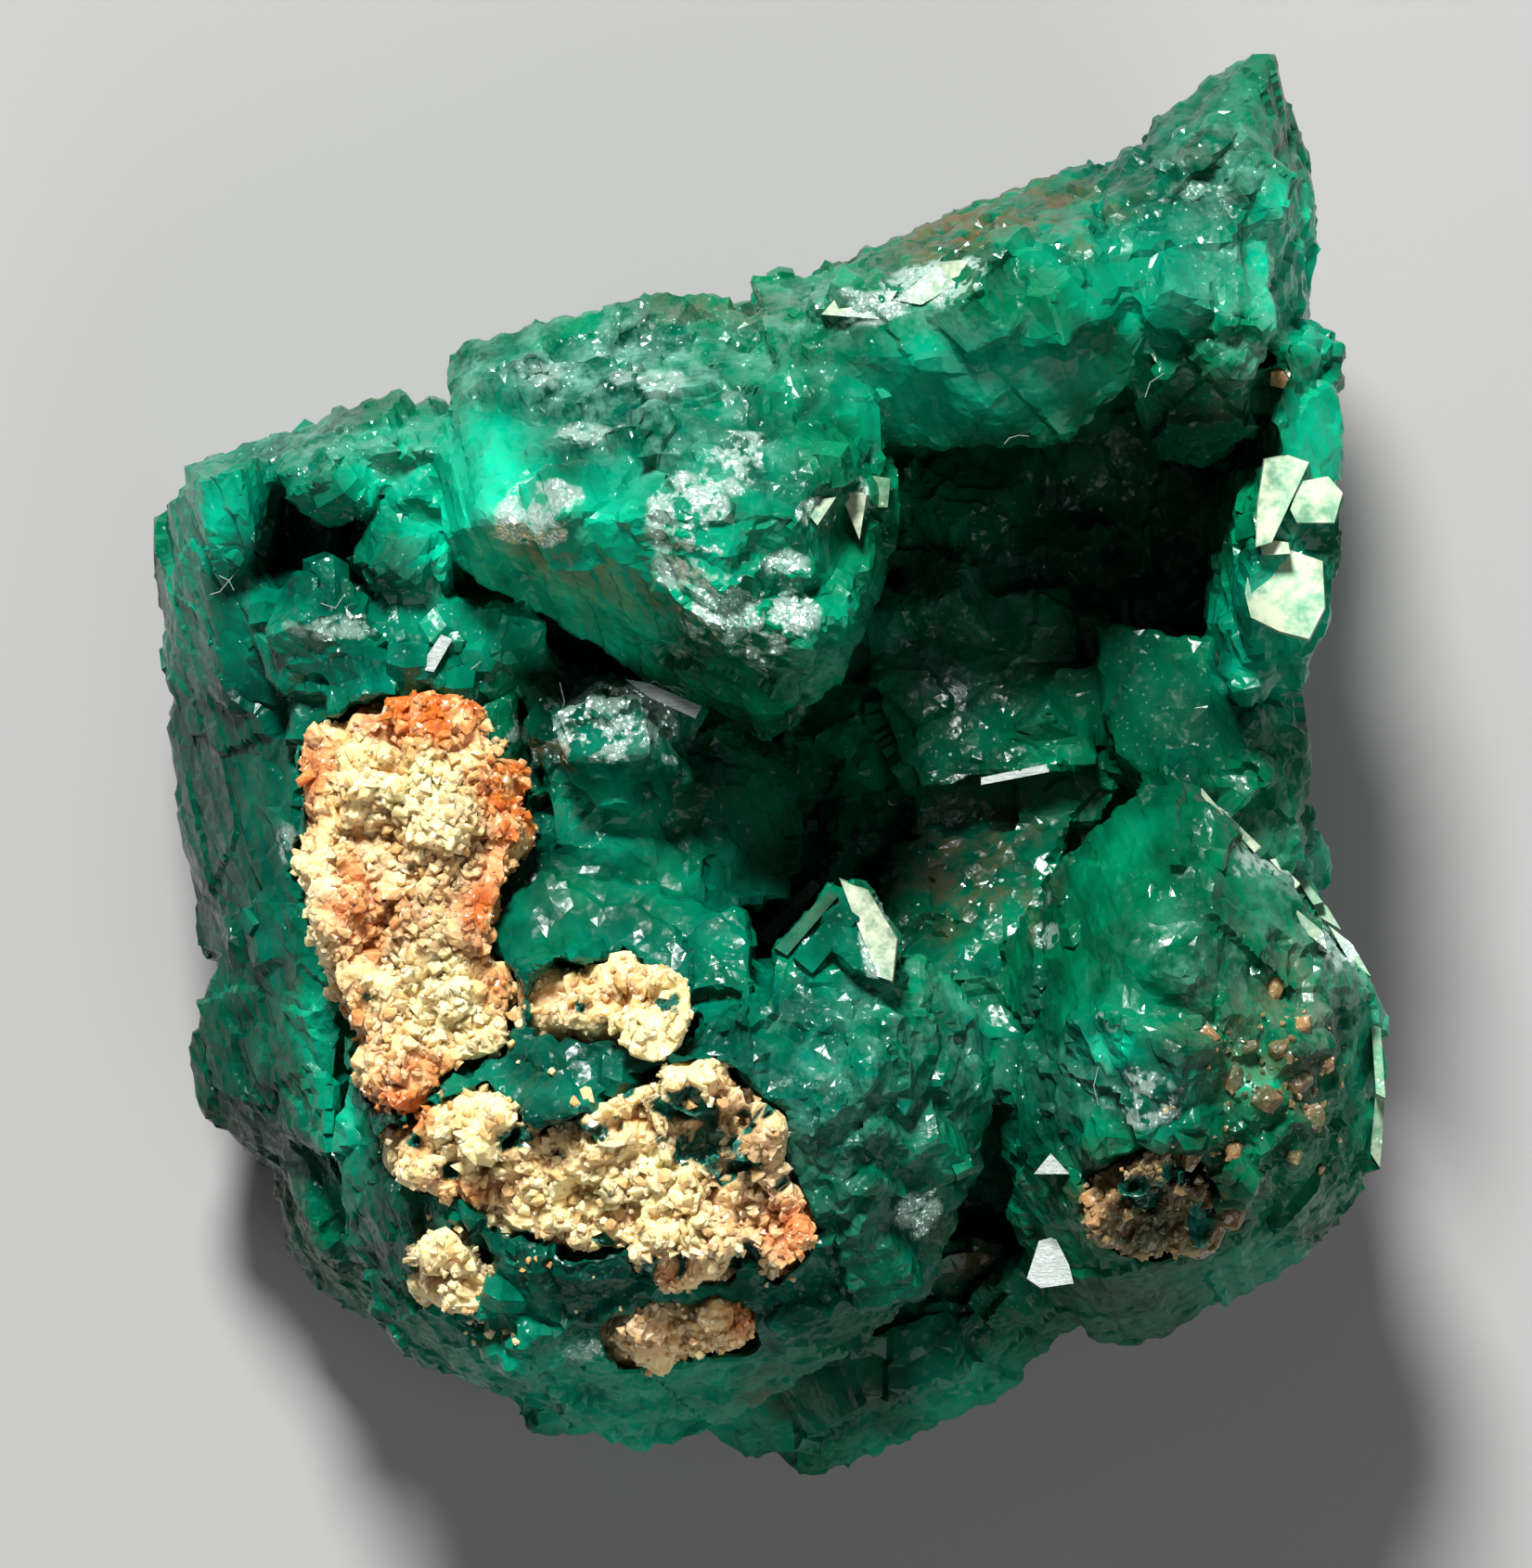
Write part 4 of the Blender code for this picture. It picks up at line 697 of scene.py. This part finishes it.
def druse(node, name, seed, ragged):
    """A crust's own body, roughened, with grains grown on it except in its openings."""
    mesh = remeshed(node, CRUST_VOXEL)
    points, out = coordinates(mesh), normals(mesh)
    _, middle, _, own = cell_noise(points, 1.5, seed + 1)
    _, nearest, _, _ = cell_noise(points, 0.6, seed + 2)
    _, finest, _, _ = cell_noise(points, 0.28, seed + 4)
    shift = 0.5 * (0.7 - middle) + 0.6 * (own[:, 0] - 0.5) + 0.9 * (0.3 - nearest) + 0.4 * (0.14 - finest)
    shift += 0.12 * smooth_noise(points, 0.4, seed + 3)
    side = np.clip(1.4 - 2 * np.abs(out[:, 2]), 0, 1)
    rim = 0.28 + 0.6 * np.clip(shift, -0.4, 0.3) + ragged * smooth_noise(points, 0.8, seed + 6)
    shift = np.clip(shift, -0.5, 0.4) * (1 - side) + side * rim
    # painted light and shade: raised lumps get high values, painted paler, and crevices low values, painted
    # amber
    tones_and_painted_light = np.clip(0.5 + 1.1 * shift, 0, 1)
    points = points + out * shift[:, None]
    points[:, 2] -= 0.5 * openings(points) * np.clip(2 * out[:, 2], 0, 1)
    mesh.vertices.foreach_set("co", (points * MM).ravel())
    mesh.update()
    surface = Surface(mesh)
    build = Builder()
    build.add(points, [list(face.vertices) for face in mesh.polygons])
    build.tones_and_painted_light = list(tones_and_painted_light)
    count = int(surface.area.sum() * CRUST_GRAINS)
    places, outs, chance = surface.pick(count, seed + 5)
    kinds = [template("grain", seed + k) for k in range(8)]
    floor = points[:, 2].min() + 0.8
    bare = 0.97 * openings(places)
    _, middle, _, own = cell_noise(places, 1.5, seed + 1)
    # painted light and shade: grains on the lumps' middles are painted paler than those between them
    lump = np.clip(0.5 + 0.7 * (0.5 - middle) + 0.5 * (own[:, 0] - 0.5), 0, 1)
    for place, away, hole, tone_and_painted_light in zip(places, outs, bare, lump):
        if place[2] < floor or away[2] < -0.3 or chance.random() < hole:
            continue
        shape = kinds[chance.integers(len(kinds))]
        size = min(SMALLEST_GRAIN + chance.gamma(1.2, 0.4 * GRAIN_SPREAD), LARGEST_GRAIN)
        towards = away + chance.normal(0, 0.5, 3)
        stretch = size * chance.uniform(0.8, 1.3)
        body = turned(shape[0], towards, chance.uniform(0, 6.3), size, stretch) + place + away * size * 0.15
        build.add(body, shape[1], 0.8 * tone_and_painted_light + 0.2 * chance.random())
    return build.mesh(name)


# (x, y, reach x, reach y, grains per square millimetre, smallest, largest): where calcite grains are strewn
GRAINS = [
    (-7.6, 0.0, 2.1, 1.6, 14, 0.10, 0.26), (-6.6, -1.2, 1.4, 1.4, 14, 0.10, 0.26),
    (-8.2, -2.4, 1.6, 1.8, 14, 0.10, 0.26), (-7.4, -4.6, 1.5, 1.9, 14, 0.10, 0.26),
    (-7.9, -6.4, 1.0, 1.0, 14, 0.10, 0.24), (-6.2, -5.2, 1.1, 0.8, 12, 0.10, 0.24),
    (-6.8, -8.0, 1.4, 0.9, 12, 0.10, 0.24), (-4.9, -8.9, 1.7, 1.1, 14, 0.10, 0.25),
    (-2.6, -9.0, 1.7, 1.3, 14, 0.10, 0.26), (-0.4, -8.7, 1.2, 1.4, 12, 0.10, 0.24),
    (0.1, -10.0, 0.9, 1.0, 12, 0.10, 0.22), (-1.4, -7.0, 1.3, 0.8, 8, 0.08, 0.2),
    (-2.2, -10.5, 0.5, 0.6, 13, 0.08, 0.2), (-1.1, -10.4, 0.5, 0.5, 13, 0.08, 0.2),
    (-3.5, -7.0, 0.9, 0.7, 6, 0.08, 0.2), (-4.8, -4.9, 1.0, 0.5, 9, 0.08, 0.2),
    (-2.8, -5.1, 0.9, 0.6, 14, 0.10, 0.24), (-6.6, -10.6, 0.8, 0.8, 14, 0.08, 0.2),
    (-2.0, -11.9, 1.8, 0.6, 13, 0.08, 0.2), (-5.8, -11.9, 0.9, 0.45, 8, 0.06, 0.16),
    (-5.2, -10.3, 0.6, 0.4, 9, 0.06, 0.18), (8.2, -9.3, 1.6, 1.1, 9, 0.05, 0.2),
    (10.9, -6.2, 1.5, 1.2, 9, 0.04, 0.13), (9.6, -7.2, 1.4, 1.2, 5, 0.04, 0.12),
    (-3.6, -5.9, 2.4, 0.8, 2.0, 0.05, 0.14), (-4.5, -9.9, 3.4, 2.0, 1.2, 0.05, 0.16),
    (11.6, -7.2, 0.9, 1.4, 2.0, 0.06, 0.18),
]
# (x, y, half width, half length, turn in degrees): large single grains
PLACED = [
    (10.75, -4.7, 0.26, 0.60, -12), (11.0, 8.42, 0.34, 0.36, 0), (9.4, -5.6, 0.24, 0.3, 30),
    (10.2, -5.9, 0.3, 0.22, 10), (11.4, -5.4, 0.26, 0.22, 40), (11.9, -6.2, 0.2, 0.3, 0),
    (9.0, -8.2, 0.34, 0.4, 20), (11.2, -8.2, 0.2, 0.26, 60), (9.9, -8.1, 0.26, 0.26, 30),
    (10.6, -7.0, 0.42, 0.34, 10), (9.9, -6.6, 0.36, 0.3, 70), (11.3, -6.6, 0.4, 0.3, 30),
    (11.6, -7.4, 0.3, 0.36, 0), (10.9, -5.9, 0.34, 0.3, 50), (6.9, -9.1, 0.36, 0.3, 20),
    (9.9, -9.5, 0.3, 0.4, 15),
]


def strewn_grains(ground):
    """Calcite grains strewn over and round the crusts."""
    build = Builder()
    chance = np.random.default_rng(301)
    kinds = [template("grain", 310 + k) for k in range(8)]
    for x, y, half_width, half_length, turn in PLACED:
        place, _ = ground.at(x, y, 0.4)
        spun = np.array(Matrix.Rotation(math.radians(turn), 3, "Z"))
        body = template("round", 330 + int(10 * x))
        points = (body[0] * (half_width, half_length, 0.7 * half_width)) @ spun.T + np.array(place)
        build.add(points, body[1], 0.15)
    for x, y, reach_x, reach_y, density, smallest, largest in GRAINS:
        for _ in range(int(density * math.pi * reach_x * reach_y)):
            angle, away = chance.uniform(0, 2 * math.pi), chance.random() ** 0.55
            across, up = x + reach_x * away * math.cos(angle), y + reach_y * away * math.sin(angle)
            place, out = ground.at(across, up, 0.4)
            if place is None or place.z < 7.0:
                continue
            if chance.random() < 0.9 * openings(np.array([place]))[0]:
                continue
            size = chance.uniform(smallest, largest) * (1.15 - 0.35 * away)
            shape = kinds[chance.integers(len(kinds))]
            towards = Vector(out) + Vector(chance.normal(0, 0.5, 3))
            spin = chance.uniform(0, 6.3)
            points = turned(shape[0], towards, spin, size, size * chance.uniform(0.8, 1.3))
            points = points + np.array(place) + np.array(out) * size * chance.uniform(-0.1, 0.5)
            build.add(points, shape[1], chance.random())
    return build.mesh("calcite_strewn_grains")


# Materials


class Nodes:
    """Short ways to add nodes to a material."""

    def __init__(self, name):
        self.material = bpy.data.materials.new(name)
        self.material.use_nodes = True
        self.tree = self.material.node_tree
        self.shader = self.tree.nodes["Principled BSDF"]
        self.output = self.tree.nodes["Material Output"]
        self.place = self.tree.nodes.new("ShaderNodeTexCoord").outputs["Object"]

    def node(self, kind, inputs=(), **settings):
        made = self.tree.nodes.new(kind)
        for key, value in settings.items():
            setattr(made, key, value)
        for key, value in dict(inputs).items():
            self.put(made.inputs[key], value)
        return made

    def put(self, socket, value):
        if isinstance(value, bpy.types.NodeSocket):
            self.tree.links.new(value, socket)
        else:
            socket.default_value = value

    def noise(self, scale, detail=2.0, roughness=0.5, stretch=None):
        place = self.place
        if stretch:
            place = self.node("ShaderNodeMapping", {"Vector": place, "Scale": stretch}).outputs["Vector"]
        inputs = {"Vector": place, "Scale": scale, "Detail": detail, "Roughness": roughness}
        return self.node("ShaderNodeTexNoise", inputs).outputs["Fac"]

    def voronoi(self, scale, out="Distance"):
        return self.node("ShaderNodeTexVoronoi", {"Vector": self.place, "Scale": scale}).outputs[out]

    def ramp(self, value, low, high, to_low=0.0, to_high=1.0):
        inputs = {"Value": value, "From Min": low, "From Max": high, "To Min": to_low, "To Max": to_high}
        return self.node("ShaderNodeMapRange", inputs).outputs["Result"]

    def maths(self, operation, a, b=0.0):
        made = self.node("ShaderNodeMath", operation=operation)
        self.put(made.inputs[0], a)
        self.put(made.inputs[1], b)
        return made.outputs[0]

    def mix(self, share, a, b):
        made = self.node("ShaderNodeMix", data_type="RGBA")
        self.put(made.inputs["Factor"], share)
        self.put(made.inputs["A"], a)
        self.put(made.inputs["B"], b)
        return made.outputs["Result"]

    def vector(self, operation, inputs):
        return self.node("ShaderNodeVectorMath", inputs, operation=operation).outputs[0]

    def mask(self, name):
        return self.node("ShaderNodeAttribute", attribute_name=name).outputs["Fac"]

    def bump(self, height, strength, distance, normal=None):
        inputs = {"Height": height, "Strength": strength, "Distance": distance}
        if normal:
            inputs["Normal"] = normal
        return self.node("ShaderNodeBump", inputs).outputs["Normal"]

    def tilted(self, scale, amount, normal):
        """The normal turned at random in each Voronoi cell, as on a face built of tiny crystals."""
        own = self.voronoi(scale, "Color")
        centred = self.vector("SUBTRACT", {0: own, 1: (0.5, 0.5, 0.5)})
        scaled = self.vector("SCALE", {0: centred, "Scale": amount})
        return self.vector("NORMALIZE", {0: self.vector("ADD", {0: normal, 1: scaled})})


def rgba(colour):
    return (*colour, 1.0)


def dioptase_material():
    n = Nodes("dioptase")
    clouds = n.ramp(n.noise(420, 3, 0.6), 0.35, 0.68)
    cool = n.mask("cool")
    deep_green = n.mix(cool, rgba((0.000, 0.042, 0.017)), rgba((0.000, 0.036, 0.023)))
    green = n.mix(cool, rgba((0.000, 0.150, 0.060)), rgba((0.000, 0.130, 0.074)))
    teal = n.mix(cool, rgba((0.000, 0.240, 0.110)), rgba((0.000, 0.215, 0.140)))
    painted_glow = rgba((0.001, 0.440, 0.250))
    grey = rgba((0.110, 0.290, 0.220))
    brown = rgba((0.090, 0.060, 0.022))
    colour = n.mix(clouds, deep_green, green)
    colour = n.mix(n.maths("MULTIPLY", n.ramp(n.noise(700, 2), 0.5, 0.75), 0.5), colour, teal)
    # painted light: the colour is raised to bright emerald where light would shine through the crystal
    painted_glow_share = n.maths("MULTIPLY", n.mask("painted_glow"), n.ramp(n.noise(700, 2), 0.2, 0.65, 0.45, 1.0))
    colour = n.mix(painted_glow_share, colour, painted_glow)
    grey_share = n.maths("MULTIPLY", n.mask("grey"), n.ramp(n.noise(1500, 3, 0.7), 0.42, 0.66, 0.0, 0.8))
    colour = n.mix(grey_share, colour, grey)
    brown_share = n.maths("MULTIPLY", n.mask("brown"), n.ramp(n.noise(1500, 3, 0.7), 0.42, 0.62))
    colour = n.mix(brown_share, colour, brown)
    # painted shade: the recesses are darkened towards near-black green
    colour = n.mix(n.maths("MULTIPLY", n.mask("painted_crevice_shade"), 0.7), colour, rgba((0.000, 0.022, 0.014)))
    plate_painted_reflection = n.mask("tone_and_painted_light")
    cracks = n.ramp(n.voronoi(3400), 0.9, 0.6)
    silvery_painted_reflection = n.ramp(n.noise(1100, 3, 0.7), 0.46, 0.51)
    silvery_painted_reflection = n.maths("MULTIPLY", n.ramp(n.mask("silvery_painted_reflection"), 0.35, 0.6), silvery_painted_reflection)
    silvery_painted_reflection = n.maths("MULTIPLY", silvery_painted_reflection, cracks)
    # painted reflection: the plates' faces are painted pale gold-grey; the same value also raises their
    # roughness
    plate_painted_reflection_share = n.maths("MULTIPLY", plate_painted_reflection, n.ramp(n.noise(1900, 3, 0.7), 0.35, 0.6, 0.25, 0.95))
    colour = n.mix(plate_painted_reflection_share, colour, rgba((0.46, 0.51, 0.36)))
    # painted reflection: the silvery patches, broken by cracks, are painted pale grey-green
    colour = n.mix(n.maths("MULTIPLY", silvery_painted_reflection, 0.8), colour, rgba((0.42, 0.56, 0.49)))
    # painted shade: near-black green in shaded crevices and hollows, and in lower places
    colour = n.mix(n.maths("MULTIPLY", n.mask("painted_shade"), 0.68), colour, rgba((0.0, 0.020, 0.013)))
    shape_normal = n.node("ShaderNodeNewGeometry").outputs["Normal"]
    rough = n.maths("SUBTRACT", 1.0, n.maths("MULTIPLY", n.mask("smooth"), 0.8))
    normal = n.tilted(3400, 0.14, shape_normal)
    normal = n.tilted(9500, n.maths("MULTIPLY", rough, 0.17), normal)
    normal = n.bump(n.noise(3000, 1, 0.6), 0.5, 0.00004, normal)
    n.put(n.shader.inputs["Base Color"], colour)
    n.put(n.shader.inputs["Roughness"], n.maths("ADD", n.ramp(n.noise(1500, 3, 0.7), 0.3, 0.7, 0.12, 0.34),
                                                n.maths("MULTIPLY", plate_painted_reflection, 0.4)))
    n.put(n.shader.inputs["Normal"], normal)
    n.shader.inputs["IOR"].default_value = 1.66
    n.shader.inputs["Specular IOR Level"].default_value = 0.12
    # tiny faces that flash
    sparkle = n.node("ShaderNodeBsdfGlossy", {"Color": (0.70, 0.95, 0.86, 1.0), "Roughness": 0.24})
    n.put(sparkle.inputs["Normal"], n.tilted(18000, 0.9, shape_normal))
    often = n.maths("ADD", n.maths("MULTIPLY", n.mask("spark"), 0.045), 0.006)
    share = n.maths("MULTIPLY", n.ramp(n.voronoi(18000, "Color"), 0.70, 0.76), often)
    share = n.maths("ADD", share, n.maths("MULTIPLY", grey_share, 0.03))
    share = n.maths("MULTIPLY", share, n.maths("ADD", n.maths("MULTIPLY", rough, 0.8), 0.2))
    share = n.maths("MULTIPLY", share, n.maths("SUBTRACT", 1.0, plate_painted_reflection))
    share = n.maths("ADD", share, n.maths("MULTIPLY", silvery_painted_reflection, 0.55))
    both = n.node("ShaderNodeMixShader", {0: share, 1: n.shader.outputs[0], 2: sparkle.outputs[0]})
    n.tree.links.new(both.outputs[0], n.output.inputs["Surface"])
    return n.material


def calcite_material(name, bare):
    """Calcite, with the holes in its crusts green if they are bare."""
    n = Nodes(name)
    cream = rgba((0.92, 0.67, 0.30))
    painted_light_cream = rgba((1.0, 0.87, 0.42))
    pinkish = rgba((0.70, 0.40, 0.21))
    orange = rgba((0.58, 0.125, 0.015))
    painted_crevice_amber = rgba((0.60, 0.29, 0.09))
    grey = rgba((0.50, 0.42, 0.26))
    colour = n.mix(n.ramp(n.noise(500, 3), 0.35, 0.65, 0.0, 0.5), cream, pinkish)
    colour = n.mix(n.maths("MULTIPLY", n.mask("pink"), n.ramp(n.noise(900, 2), 0.3, 0.6)), colour, pinkish)
    # painted light: paler cream where the calcite faces the light
    colour = n.mix(n.maths("MULTIPLY", n.mask("painted_light_cream"), n.ramp(n.noise(700, 2), 0.3, 0.6)), colour, painted_light_cream)
    colour = n.mix(n.maths("MULTIPLY", n.ramp(n.noise(620, 2), 0.56, 0.7), 0.6), colour, grey)
    # painted light on raised lumps (paler) and painted shade in crevices (amber)
    colour = n.mix(n.ramp(n.mask("tone_and_painted_light"), 0.55, 1.0, 0.0, 0.5), colour, painted_light_cream)
    colour = n.mix(n.ramp(n.mask("tone_and_painted_light"), 0.45, 0.1, 0.0, 0.7), colour, painted_crevice_amber)
    colour = n.mix(n.maths("MULTIPLY", n.mask("rust"), n.ramp(n.noise(1600, 3), 0.25, 0.5)), colour, orange)
    dull = n.mix(n.ramp(n.noise(1300, 2), 0.4, 0.6), rgba((0.15, 0.09, 0.035)), rgba((0.06, 0.07, 0.028)))
    colour = n.mix(n.mask("dull"), colour, dull)
    shape_normal = n.node("ShaderNodeNewGeometry").outputs["Normal"]
    normal = n.bump(n.voronoi(7000), 0.7, 0.00006, shape_normal)
    if bare:
        dark, light = rgba((0.002, 0.040, 0.026)), rgba((0.002, 0.13, 0.09))
        below = n.mix(n.ramp(n.noise(1800, 3, 0.7), 0.4, 0.6), dark, light)
        colour = n.mix(n.ramp(n.mask("hole"), 0.35, 0.6), colour, below)
    n.put(n.shader.inputs["Base Color"], colour)
    n.put(n.shader.inputs["Roughness"], n.ramp(n.noise(3000, 2), 0.3, 0.7, 0.2, 0.5))
    n.put(n.shader.inputs["Normal"], normal)
    n.shader.inputs["IOR"].default_value = 1.58
    n.shader.inputs["Specular IOR Level"].default_value = 0.3
    n.shader.inputs["Subsurface Weight"].default_value = 0.55
    n.shader.inputs["Subsurface Radius"].default_value = (1.0, 0.8, 0.55)
    n.shader.inputs["Subsurface Scale"].default_value = 0.0006
    sparkle = n.node("ShaderNodeBsdfGlossy", {"Color": (1.0, 0.95, 0.85, 1.0), "Roughness": 0.15})
    n.put(sparkle.inputs["Normal"], n.tilted(5200, 1.2, shape_normal))
    both = n.node("ShaderNodeMixShader", {0: 0.035, 1: n.shader.outputs[0], 2: sparkle.outputs[0]})
    n.tree.links.new(both.outputs[0], n.output.inputs["Surface"])
    return n.material


def chip_material():
    n = Nodes("clear_chip")
    colour = n.mix(n.noise(2500, 3), rgba((0.26, 0.32, 0.29)), rgba((0.44, 0.50, 0.47)))
    n.put(n.shader.inputs["Base Color"], colour)
    n.put(n.shader.inputs["Roughness"], n.ramp(n.noise(3000, 2), 0.3, 0.7, 0.25, 0.5))
    n.put(n.shader.inputs["Normal"], n.bump(n.noise(3000, 3, 0.6, stretch=(1.0, 5.0, 1.0)), 0.8, 0.00008))
    n.shader.inputs["IOR"].default_value = 1.55
    n.shader.inputs["Transmission Weight"].default_value = 0.35
    return n.material


# Stage


# in metres: the picture is FRAME_HEIGHT high at the level FRAME_PLANE
FLOOR_REACH = 0.8
CAMERA_DISTANCE = 0.70
FRAME_PLANE = 0.007
FRAME_HEIGHT = 0.0338
MIDDLE = (0, 0, 0.01)


def add_light(name, place, aim, size, power):
    data = bpy.data.lights.new(name, "AREA")
    data.shape = "DISK"
    data.size = size
    data.energy = power
    made = bpy.data.objects.new(name, data)
    bpy.context.scene.collection.objects.link(made)
    made.location = place
    made.rotation_euler = (Vector(aim) - Vector(place)).to_track_quat("-Z", "Y").to_euler()


def stage():
    """The floor, the lights and the camera, which aren't part of the object."""
    scene = bpy.context.scene
    scene.view_settings.view_transform = "Standard"
    # fewer bounces than Blender's own keep the render short
    scene.cycles.max_bounces = 5
    scene.cycles.diffuse_bounces = 2
    scene.cycles.glossy_bounces = 2
    scene.cycles.transmission_bounces = 3
    shape = bmesh.new()
    bmesh.ops.create_grid(shape, x_segments=1, y_segments=1, size=FLOOR_REACH)
    mesh = bpy.data.meshes.new("floor")
    shape.to_mesh(mesh)
    shape.free()
    floor = bpy.data.objects.new("floor", mesh)
    scene.collection.objects.link(floor)
    n = Nodes("floor")
    colour = n.mix(n.noise(40, 2), rgba((0.27, 0.27, 0.265)), rgba((0.30, 0.30, 0.295)))
    n.put(n.shader.inputs["Base Color"], colour)
    n.shader.inputs["Roughness"].default_value = 0.8
    floor.data.materials.append(n.material)
    floor.location.z = -0.00002
    world = bpy.data.worlds.new("studio")
    world.use_nodes = True
    world.node_tree.nodes["Background"].inputs["Color"].default_value = (0.95, 0.98, 1.0, 1.0)
    world.node_tree.nodes["Background"].inputs["Strength"].default_value = 0.11
    scene.world = world
    add_light("key", (-0.06, 0.30, 0.34), MIDDLE, 0.10, 5.0)
    add_light("fill", (0.20, -0.24, 0.34), MIDDLE, 0.40, 0.75)
    camera = bpy.data.objects.new("camera", bpy.data.cameras.new("camera"))
    scene.collection.objects.link(camera)
    scene.camera = camera
    camera.location = (-0.09 * MM, -0.26 * MM, FRAME_PLANE + CAMERA_DISTANCE)
    camera.data.sensor_fit = "VERTICAL"
    camera.data.angle_y = 2 * math.atan(0.5 * FRAME_HEIGHT / CAMERA_DISTANCE)
    camera.data.clip_start = 0.01


def main():
    stage()
    green = dioptase_material()
    cream, loose = calcite_material("calcite_crust", True), calcite_material("calcite", False)
    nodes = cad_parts
    body = piece("dioptase_crystals", dioptase_mesh(nodes["dioptase_cluster"]), green, "dioptase_cluster")
    surface = Surface(body.data)
    grown = piece("dioptase_small_crystals", small_crystals(surface), green)
    ground = Ground([body.data])
    plates = piece("dioptase_plates", crystal_plates(ground), green)
    chips = piece("clear_chips", loose_chips(ground), chip_material())
    fibres = piece("lint", lint(ground), chips.data.materials[0])
    crusts = []
    for index, name in enumerate(CRUSTS):
        ragged = 0.0 if name in ("calcite_column", "calcite_band") else 0.5
        mesh = druse(nodes[name], name, 200 + 10 * index, ragged)
        made = piece(name + "_grains", mesh, cream, name)
        crusts.append(mesh)
    strewn = piece("calcite_strewn_grains", strewn_grains(Ground([body.data, *crusts])), loose)


main()
